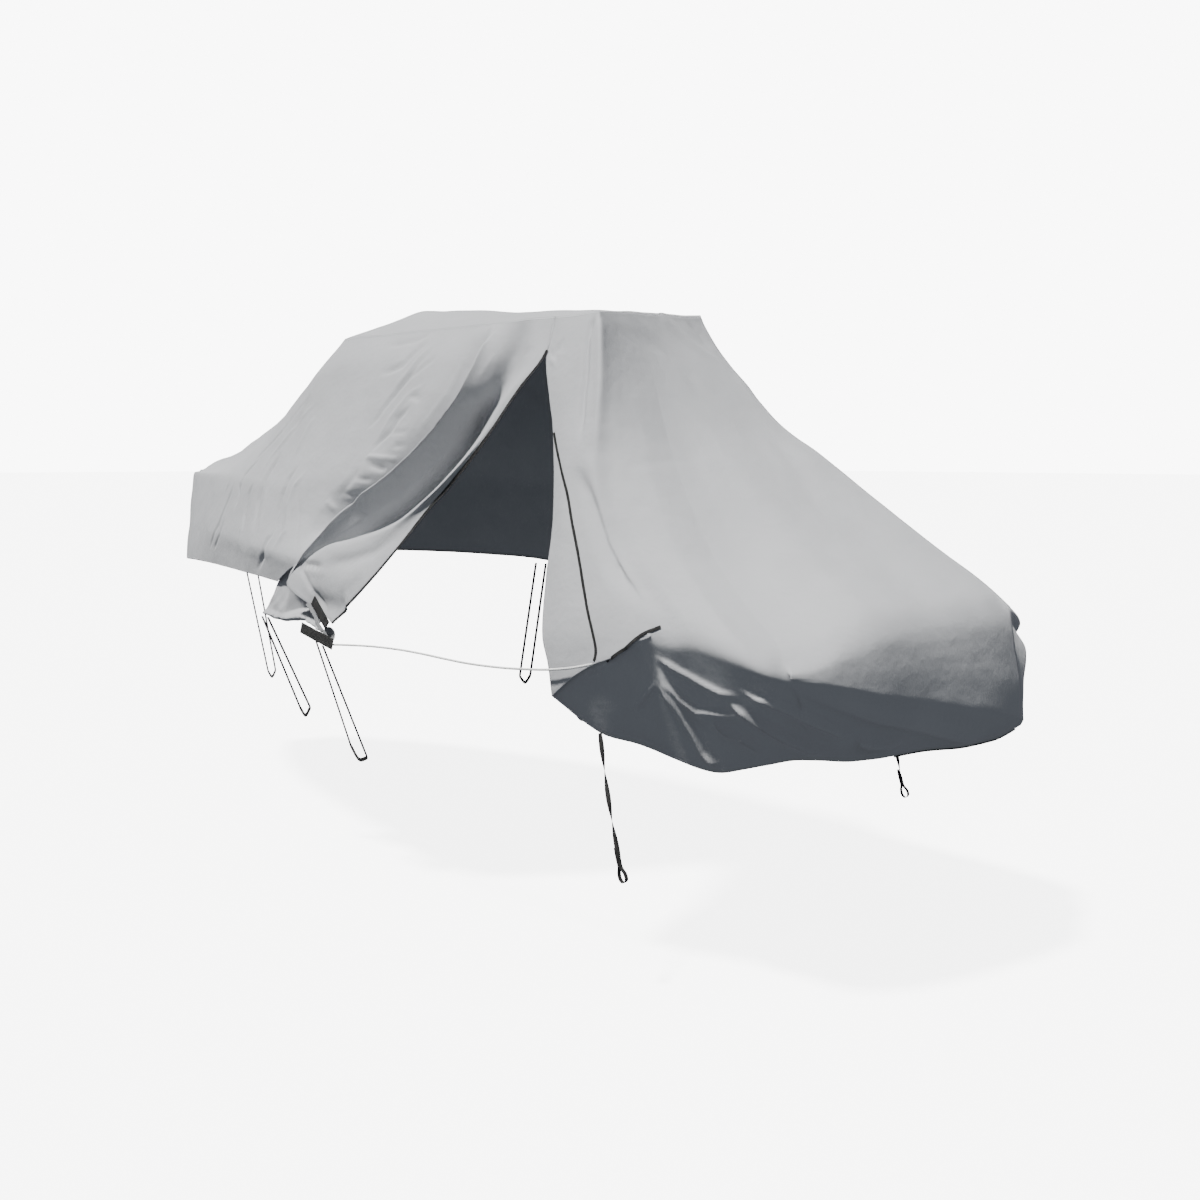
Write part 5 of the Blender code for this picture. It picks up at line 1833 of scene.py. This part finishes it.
@dataclass
class StarboardSide(ClothPiece):
    """The side away from the doorway, from the stem to the motor."""

    upper_depth: int = 50
    lower_depth: int = 24
    corner_points: int = 8
    roundings = (
        Rounding(((RAIL_PORT.mirrored(), 200),), 0.045, 14),
        Rounding(((RAIL_STARBOARD_AFT, 200), (STARBOARD_SEAM, 60)), 0.055, 18),
        Rounding(((FACE_TOP_STARBOARD, 60), (FACE_FOOT_STARBOARD, 60)), 0.035, 12),
    )

    def panels(self) -> list[Panel]:
        """Five panels that share their seams.

        Returns:
            The panels.
        """
        roof_forward = ROOF_STARBOARD_FORWARD.points(STARBOARD_ROOF_FORWARD_POINTS)
        top = chain(RIDGE_STARBOARD.backwards().points(RIDGE_POINTS), roof_forward)
        rail = RAIL_PORT.mirrored().points(len(top))
        seam = STARBOARD_SEAM.points(self.upper_depth)
        nose = BOW_NOSE_PORT.mirrored().points(self.upper_depth)
        lower_seam = STARBOARD_LOWER_SEAM.points(self.lower_depth)
        hem = HEM_BOW.mirrored().points(len(top))
        lower = turned_in(coons(rail, hem, STEM.points(self.lower_depth), lower_seam), Edge.LAST_COLUMN)
        roof_aft = ROOF_STARBOARD_AFT.points(STARBOARD_ROOF_AFT_POINTS)
        long_top = chain(roof_aft, STERN_RIDGE.points(QUARTER_POINTS))
        rail_aft = RAIL_STARBOARD_AFT.points(len(long_top))
        face_top = FACE_TOP_STARBOARD.points(self.upper_depth)
        face_foot = FACE_FOOT_STARBOARD.points(self.upper_depth)
        sides = (seam.points(FACE_DEPTH_POINTS) for seam in (FACE_SIDE, STERN_CORNER_STARBOARD))
        face = coons(face_top, face_foot, *sides)
        skirt_top = chain(rail_aft, STERN_CORNER_STARBOARD.points(self.corner_points), face_foot[::-1])
        skirt_hem = HEM_STARBOARD.points(len(skirt_top))
        end = np.linspace(skirt_top[-1], skirt_hem[-1], self.lower_depth)
        skirt = coons(skirt_top, skirt_hem, lower_seam, end)
        return [
            Panel(Layer.STARBOARD, coons(top, rail, nose, seam), sewn=(Edge.FIRST_COLUMN, Edge.LAST_ROW)),
            Panel(Layer.STARBOARD, lower, hem=Edge.LAST_COLUMN, sewn=(Edge.FIRST_ROW,)),
            Panel(Layer.STARBOARD, coons(long_top, rail_aft, seam, face_top), sewn=(Edge.FIRST_COLUMN,)),
            Panel(Layer.STARBOARD, face, sewn=(Edge.FIRST_ROW,)),
            Panel(Layer.STARBOARD, turned_in(skirt, Edge.LAST_COLUMN), hem=Edge.LAST_COLUMN),
        ]


# ---------------- zip, tabs, rope and tie-downs
@dataclass
class ZipHalf:
    """Half of the doorway's zip: woven tape with a row of coil teeth along its free edge."""

    name: str
    node: str
    width: float = 0.018
    thickness: float = 0.0014
    tooth: Triple = (0.0042, 0.0016, 0.0020)
    tooth_lift: float = 0.3
    pitch: float = 0.0030

    def build(self, path: np.ndarray, normal: np.ndarray, towards: float, finishes: Finishes) -> None:
        """Lay the tape along a path and stand the teeth along one of its edges.

        Each tooth is a small block, longest across the tape; all blocks are one array.

        Args:
            path: the tape's middle.
            normal: directions out of its face.
            towards: 1 or -1 for the edge that carries the teeth.
            finishes: the cover's materials.
        """
        across, out = path_frames(path, normal)
        section = flat_outline(self.width, self.thickness)
        tape = strip_piece(self.name, path, (across, out), section, finishes.tape)
        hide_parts(self.node)
        runs = travelled(path)
        at = np.arange(self.pitch, runs[-1] - self.pitch, self.pitch)
        row = path + across * towards * self.width / 2 + out * self.thickness * self.tooth_lift
        place, side, face = (between(table, runs, at) for table in (row, across, out))
        ahead = np.cross(face, side)
        signs = np.array([(a, b, c) for a in (-1, 1) for b in (-1, 1) for c in (-1, 1)], dtype=float) / 2
        size = np.array(self.tooth)
        turn = np.stack((side, ahead, face), axis=1)
        blocks = place[:, None] + np.einsum("vk,nkj->nvj", signs * size, turn)
        sides = np.array((
            (0, 1, 3, 2), (4, 6, 7, 5), (0, 4, 5, 1), (2, 3, 7, 6), (0, 2, 6, 4), (1, 5, 7, 3),
        ))
        quads = (np.arange(len(at))[:, None, None] * 8 + sides[None]).reshape(-1, 4)
        teeth = put_in(f"{self.name}_coil", blocks.reshape(-1, 3), quads.tolist(), {}, finishes.coil)


@dataclass
class Tab:
    """Short length of webbing sewn flat: a pull tab or a reinforcing bar."""

    name: str
    width: float = 0.048
    thickness: float = 0.003
    slot: str = "black_webbing"

    def build(self, path: np.ndarray, facing: Triple | np.ndarray,
              finish: Material) -> bpy.types.Object:
        """Make the tab along a path.

        Args:
            path: the tab's middle.
            facing: direction out of its face, or one for each point.
            finish: its material.

        Returns:
            The tab.
        """
        section = flat_outline(self.width, self.thickness)
        tab = strip_piece(f"{self.name}_webbing", path, path_frames(path, facing), section, finish)
        return tab


@dataclass
class Patch:
    """Round reinforcing patch over the tabs, slightly domed, with a soft edge."""

    radius: float = DISC_RADIUS
    thickness: float = 0.003
    rings: int = 20
    sides: int = 72
    rim_waver: float = 0.012
    face_waver: float = 0.0007
    back_share: float = 0.8

    def build(self, finishes: Finishes) -> None:
        """Make the disc: rings of points whose height falls away at the rim like a flattened dome.

        Args:
            finishes: the cover's materials.
        """
        share = np.linspace(0.0, 1.0, self.rings + 1)[1:, None]
        angle = np.linspace(0.0, 2 * math.pi, self.sides, endpoint=False)[None, :]
        far = self.radius * (1 + self.rim_waver * np.sin(5 * angle + 1.0)) * share
        height = self.thickness / 2 * np.sqrt(np.clip(1 - share**6, 0.0, 1.0))
        height = height + self.face_waver * np.sin(3 * angle + 0.5) * share**2
        x, z = far * np.cos(angle), far * np.sin(angle)
        front = np.stack((x, np.broadcast_to(height, x.shape), z), axis=-1)
        behind = -np.abs(height) * self.back_share
        back = np.stack((x, np.broadcast_to(behind, x.shape), z), axis=-1)[:-1]
        ring = np.concatenate((front, back[::-1]))
        steps = len(ring)
        index = np.arange(steps * self.sides).reshape(steps, self.sides)
        following = np.roll(index, -1, axis=1)
        quads = np.stack((index[:-1], index[1:], following[1:], following[:-1]), axis=-1).reshape(-1, 4)
        centre = np.array((DISC_CENTRE[0], DISC_CENTRE[1], DISC_CENTRE[2] - GROUND_TO_ROOF))
        facing = unit(np.array(DISC_FACING))
        level = unit(np.cross(facing, UPRIGHT))
        turn = np.stack((level, facing, np.cross(level, facing)))
        faces = quads[:, ::-1].tolist() + [index[0].tolist(), index[-1, ::-1].tolist()]
        out = np.concatenate((far[:, 0], far[:-1, 0][::-1]))
        turns = np.linspace(0.0, 1.0, self.sides + 1)
        run = np.broadcast_to(turns[None, :-1], (steps - 1, self.sides))
        more = np.broadcast_to(turns[None, 1:], (steps - 1, self.sides))
        low = np.broadcast_to(out[:-1, None], run.shape)
        high = np.broadcast_to(out[1:, None], run.shape)
        corners = paired((more, low), (more, high), (run, high), (run, low))
        ends = np.zeros((2 * self.sides, 2))
        disc = put_in("flap_disc_patch", ring.reshape(-1, 3) @ turn + centre, faces,
                      {"strip": np.concatenate((corners, ends))}, finishes.patch)
        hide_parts("flap_disc")


@dataclass
class HemRope:
    """White braided rope across the foot of the doorway, from the tabs to the aft cloth."""

    diameter: float = 0.012
    sides: int = 18
    steps: int = 420
    gap: float = 0.001
    crosses_aft_of: float = -1.44
    passes: int = 40

    def build(self, finishes: Finishes, carrier: Carrier) -> bpy.types.Object:
        """Make the rope, resting on the aft cloth where it crosses it.

        Args:
            finishes: the cover's materials.
            carrier: the aft cloth.

        Returns:
            The rope.
        """
        path = HEM_ROPE.points(self.steps)
        place, normal = carrier.laid(path, self.diameter / 2 + self.gap)
        buried = np.sum((path - place) * normal, axis=1)
        over = (path[:, 0] < self.crosses_aft_of) & (buried < 0.0)
        path = smoothed(np.where(over[:, None], place, path), self.passes)
        section = round_outline(self.diameter, self.sides)
        rope = strip_piece("white_hem_rope", path, path_frames(path, TO_PORT), section, finishes.rope)
        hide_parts("hem_rope")
        return rope


@dataclass
class HemElastic:
    """Black elastic drawn through the foot of the stern hem."""

    diameter: float = 0.009
    sides: int = 14
    drop: float = 0.006
    passes: int = 3

    def build(self, hem: np.ndarray, finishes: Finishes) -> None:
        """Lay the elastic under the hem's roll.

        Args:
            hem: points of the finished hem.
            finishes: the cover's materials.
        """
        path = smoothed(hem - np.array((0.0, 0.0, self.drop)), self.passes)
        section = round_outline(self.diameter, self.sides)
        frames = path_frames(path, UPRIGHT)
        elastic = strip_piece("stern_hem_elastic", path, frames, section, finishes.elastic)
        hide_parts("stern_hem_edge")


@dataclass
class LoopStrap:
    """Webbing tie-down that runs down one leg, under the hull and up the other leg."""

    name: str
    first_top: Triple
    first_foot: Triple
    second_foot: Triple
    second_top: Triple
    width: float = 0.025
    thickness: float = 0.0022
    turn_drop: float = 0.05
    leg_points: int = 60
    turn_points: int = 40
    passes: int = 2

    def route(self) -> np.ndarray:
        """Both legs and the turn between them.

        Returns:
            The path's points.
        """
        middle = (np.array(self.first_foot) + np.array(self.second_foot)) / 2
        turn = (float(middle[0]), float(middle[1]), float(middle[2]) - self.turn_drop)
        down = SeamLine((self.first_top, self.first_foot)).points(self.leg_points)
        under = SeamLine((self.first_foot, turn, self.second_foot)).points(self.turn_points)
        up = SeamLine((self.second_foot, self.second_top)).points(self.leg_points)
        return smoothed(chain(down, under, up), self.passes)

    def build(self, finishes: Finishes) -> bpy.types.Object:
        """Make the strap.

        Args:
            finishes: the cover's materials.

        Returns:
            The strap.
        """
        path = self.route()
        section = flat_outline(self.width, self.thickness)
        frames = path_frames(path, TO_PORT)
        strap = strip_piece(f"{self.name}_webbing", path, frames, section, finishes.webbing)
        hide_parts(self.name)
        return strap


@dataclass
class TwistedStrap:
    """Webbing tie-down that hangs twisted from the aft hem and ends in a sewn eye."""

    name: str
    starboard: bool = False
    width: float = 0.025
    thickness: float = 0.0022
    twist: float = 2.5 * math.pi
    steps: int = 160
    eye_steps: int = 140

    @staticmethod
    def frames(path: np.ndarray, turn: np.ndarray | float) -> tuple[np.ndarray, np.ndarray]:
        """Directions across a path and out of its face, turned about it by an angle."""
        across, out = path_frames(path, TO_PORT)
        return across * np.cos(turn) + out * np.sin(turn), out * np.cos(turn) - across * np.sin(turn)

    def build(self, finishes: Finishes) -> bpy.types.Object:
        """Make the strap and its eye.

        Args:
            finishes: the cover's materials.

        Returns:
            The strap.
        """
        line, loop = (seam.mirrored() if self.starboard else seam for seam in (STRAP_AFT, STRAP_EYE))
        path, eye = line.points(self.steps), loop.points(self.eye_steps)
        last = -self.twist if self.starboard else self.twist
        turn = last * np.linspace(0.0, 1.0, len(path))[:, None]
        section = flat_outline(self.width, self.thickness)
        strap = strip_piece(f"{self.name}_webbing", path, self.frames(path, turn), section, finishes.webbing)
        end = strip_piece(f"{self.name}_sewn_eye", eye, self.frames(eye, last), section, finishes.webbing)
        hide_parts(self.name)
        return strap


# ---------------- studio
@dataclass(frozen=True)
class Studio:
    """Pale floor under the photograph's light: one high soft sun and a dim sky."""

    sun_from: Triple = (0.0, 0.44, 0.90)
    sun_strength: float = 8.5
    sun_angle: float = math.radians(6.0)
    sun_colour: Triple = (1.0, 0.985, 0.96)
    sky: Triple = (0.50, 0.54, 0.60)
    sky_strength: float = 0.50
    sky_heights: tuple[float, float] = (-0.15, 0.5)
    sky_shares: tuple[float, float] = (0.85, 1.0)
    backdrop: float = 9.0
    floor_side: float = 400.0

    def build(self) -> None:
        """Make the floor, the sun and the world."""
        half = self.floor_side / 2
        corners = [(-half, -half, -GROUND_TO_ROOF), (half, -half, -GROUND_TO_ROOF),
                   (half, half, -GROUND_TO_ROOF), (-half, half, -GROUND_TO_ROOF)]
        mesh = bpy.data.meshes.new("studio_floor")
        mesh.from_pydata(corners, [], [(0, 1, 2, 3)])
        mesh.materials.append(FloorFinish().build())
        floor = bpy.data.objects.new("studio_floor", mesh)
        floor.visible_diffuse = False
        floor.visible_glossy = False
        floor.visible_transmission = False
        bpy.context.scene.collection.objects.link(floor)
        lamp = bpy.data.lights.new("high_sun", "SUN")
        lamp.energy = self.sun_strength
        lamp.angle = self.sun_angle
        lamp.color = self.sun_colour
        sun = bpy.data.objects.new("high_sun", lamp)
        sun.rotation_mode = "QUATERNION"
        sun.rotation_quaternion = Vector(self.sun_from).to_track_quat("Z", "Y")
        bpy.context.scene.collection.objects.link(sun)
        self.build_world()

    def build_world(self) -> None:
        """Dim cool light from above for the cloth, and a plain pale backdrop for the camera."""
        world = bpy.data.worlds.new("studio")
        bpy.context.scene.world = world
        world.use_nodes = True
        nodes, links = world.node_tree.nodes, world.node_tree.links
        nodes.clear()
        place = nodes.new("ShaderNodeTexCoord")
        split = nodes.new("ShaderNodeSeparateXYZ")
        links.new(place.outputs["Generated"], split.inputs["Vector"])
        height = nodes.new("ShaderNodeMapRange")
        height.interpolation_type = "SMOOTHSTEP"
        links.new(split.outputs["Z"], height.inputs["Value"])
        titles = "From Min", "From Max", "To Min", "To Max"
        for title, number in zip(titles, self.sky_heights + self.sky_shares):
            height.inputs[title].default_value = number
        strength = nodes.new("ShaderNodeMath")
        strength.operation = "MULTIPLY"
        links.new(height.outputs["Result"], strength.inputs[0])
        strength.inputs[1].default_value = self.sky_strength
        light = nodes.new("ShaderNodeBackground")
        light.inputs["Color"].default_value = (*self.sky, 1.0)
        links.new(strength.outputs["Value"], light.inputs["Strength"])
        seen = nodes.new("ShaderNodeBackground")
        seen.inputs["Color"].default_value = (1.0, 1.0, 1.0, 1.0)
        seen.inputs["Strength"].default_value = self.backdrop
        rays = nodes.new("ShaderNodeLightPath")
        either = nodes.new("ShaderNodeMixShader")
        out = nodes.new("ShaderNodeOutputWorld")
        links.new(rays.outputs["Is Camera Ray"], either.inputs["Fac"])
        links.new(light.outputs["Background"], either.inputs[1])
        links.new(seen.outputs["Background"], either.inputs[2])
        links.new(either.outputs["Shader"], out.inputs["Surface"])


# ---------------- the cover
@dataclass
class Cover:
    """The whole cover: its cloth first, folded together, then what is sewn to it."""

    camera: PhotoCamera
    zip_starts: float = 0.09
    zip_points: int = 220
    zip_overhang: float = 0.005
    zip_rows_in: int = 3
    zip_passes: int = 4
    zip_lift: float = 0.003
    aft_zip_width: float = 0.014
    aft_zip_points: int = 200
    aft_zip_passes: int = 30
    facing_passes: int = 8
    end_tab_lift: float = 0.004
    end_tab_width: float = 0.016
    end_tab_points: int = 60
    end_tab_passes: int = 6
    tab_points: int = 24
    upper_tab_width: float = 0.062
    lower_tab_width: float = 0.066
    strip_width: float = 0.028
    strip_thickness: float = 0.002
    elastic_span: tuple[float, float] = (0.69, 0.99)

    def cloth_pieces(self) -> list[ClothPiece]:
        """Every piece of cloth with its CAD nodes, flat size in metres and area in square metres.

        Returns:
            The pieces, forward and roof first, not sewn yet.
        """
        return [
            Roof("roof_cloth", ("roof_panel",), (1.30, 2.40), 2.62),
            BowSlope("bow_slope_cloth", ("bow_slope_panel",), (1.25, 3.60), 2.79),
            PortSide("port_side_cloth", ("port_bow_upper", "port_bow_lower", "door_flap_forward"),
                     (2.20, 4.50), 6.76),
            Gather("port_hem_gather_cloth", ("port_hem_gather",), (0.36, 0.85), 0.26),
            AftSide("aft_cloth",
                    ("port_quarter_panel", "stern_slope_panel", "stern_face_panel", "stern_skirt_port"),
                    (2.60, 3.60), 6.32),
            StarboardSide("starboard_cloth",
                          ("starboard_bow_upper", "starboard_bow_lower", "starboard_side_aft",
                           "stern_face_starboard", "starboard_skirt"),
                          (2.40, 7.40), 11.29),
        ]

    def build(self, finishes: Finishes) -> None:
        """Sew, fold and dress the cloth, then lay the trim on it.

        Args:
            finishes: the cover's materials.
        """
        pieces = self.cloth_pieces()
        folds = FoldField(self.camera)
        for piece in pieces:
            piece.sew()
        _, _, port, _, aft, _ = (piece.cloth for piece in pieces)
        folds.lay(BOW_CREASES + FORWARD_CREASES + CREST_CREASES + FLAP_CREASES, port)
        folds.lay(APEX_CREASES + AFT_CREASES + FACE_CREASES + SKIRT_CREASES, aft)
        for piece in pieces:
            folds.fold(piece.cloth)
            piece.dress(finishes.cloth)
        self.build_zip(port, aft, finishes)
        self.build_trim(aft, finishes)
        for row in STRAP_LOOPS:
            LoopStrap(*row).build(finishes)
            log.info("tie-down %s", row[0])
        TwistedStrap("strap_port_aft").build(finishes)
        TwistedStrap("strap_starboard_aft", starboard=True).build(finishes)

    def build_zip(self, port: Cloth, aft: Cloth, finishes: Finishes) -> None:
        """Both halves of the zip: along the flap's edge, and down the aft cloth.

        Args:
            port: the finished port side with the flap.
            aft: the finished aft cloth.
            finishes: the cover's materials.
        """
        edge = port.border(Layer.FLAP, Edge.LAST_COLUMN, inside=HEM_ROWS, short=HEM_ROWS)
        deeper = HEM_ROWS + self.zip_rows_in
        inner = port.border(Layer.FLAP, Edge.LAST_COLUMN, inside=deeper, short=HEM_ROWS)
        beyond = unit(edge - inner)
        runs = np.linspace(0.0, 1.0, len(edge))
        at = np.linspace(self.zip_starts, 1.0, self.zip_points)
        path = smoothed(between(edge + self.zip_overhang * beyond, runs, at), self.zip_passes)
        beyond = between(beyond, runs, at)
        normal = np.cross(beyond, unit(np.gradient(path, axis=0)))
        normal = normal * np.where(np.sum(normal * outward(path), axis=1, keepdims=True) < 0, -1.0, 1.0)
        normal = smoothed(normal, self.facing_passes)
        ZipHalf("forward_zip", "zip_tape_forward").build(path, normal, 1.0, finishes)
        carrier = Carrier(aft)
        path = even(carrier.seen(self.camera, ZIP_AFT_PIXELS), self.aft_zip_points)
        laid = carrier.laid(smoothed(path, self.aft_zip_passes), self.zip_lift)
        path, normal = (smoothed(table, self.facing_passes) for table in laid)
        ZipHalf("aft_zip", "zip_tape_aft", self.aft_zip_width).build(path, normal, -1.0, finishes)
        log.info("both halves of the zip")

    def build_trim(self, aft: Cloth, finishes: Finishes) -> None:
        """Tabs, patch, rope and hem elastic.

        Args:
            aft: the finished aft cloth.
            finishes: the cover's materials.
        """
        for name, seam, width in (
            ("flap_tab_upper", FLAP_TAB_UPPER, self.upper_tab_width),
            ("flap_tab_lower", FLAP_TAB_LOWER, self.lower_tab_width),
        ):
            tab = Tab(name, width=width).build(seam.points(self.tab_points), TAB_FACING, finishes.webbing)
            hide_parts(name)
        strip = Tab("flap_strip", width=self.strip_width, thickness=self.strip_thickness, slot="grey_disc")
        strip.build(FLAP_STRIP.points(self.tab_points), DISC_FACING, finishes.patch)
        carrier = Carrier(aft)
        path = even(carrier.seen(self.camera, ZIP_END_PIXELS), self.end_tab_points)
        laid = carrier.laid(path, self.end_tab_lift)
        path, normal = (smoothed(table, self.end_tab_passes) for table in laid)
        end = Tab("zip_end_tab", self.end_tab_width).build(path, normal, finishes.webbing)
        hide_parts("zip_end_tab")
        Patch().build(finishes)
        HemRope().build(finishes, carrier)
        hem = aft.border(Layer.SKIRT, Edge.LAST_COLUMN, inside=HEM_ROWS // 2)
        share = np.linspace(0.0, 1.0, len(hem))
        first, last = self.elastic_span
        HemElastic().build(hem[(share > first) & (share < last)], finishes)
        log.info("tabs, patch, rope and hem elastic")


def main() -> None:
    """Build the cover and its studio."""
    logging.basicConfig(level=logging.INFO, format="%(name)s: %(message)s")
    camera = PhotoCamera()
    camera.build()
    log.info("camera")
    Cover(camera).build(Finishes.build())
    Studio().build()
    log.info("studio")


if __name__ == "__main__":
    main()
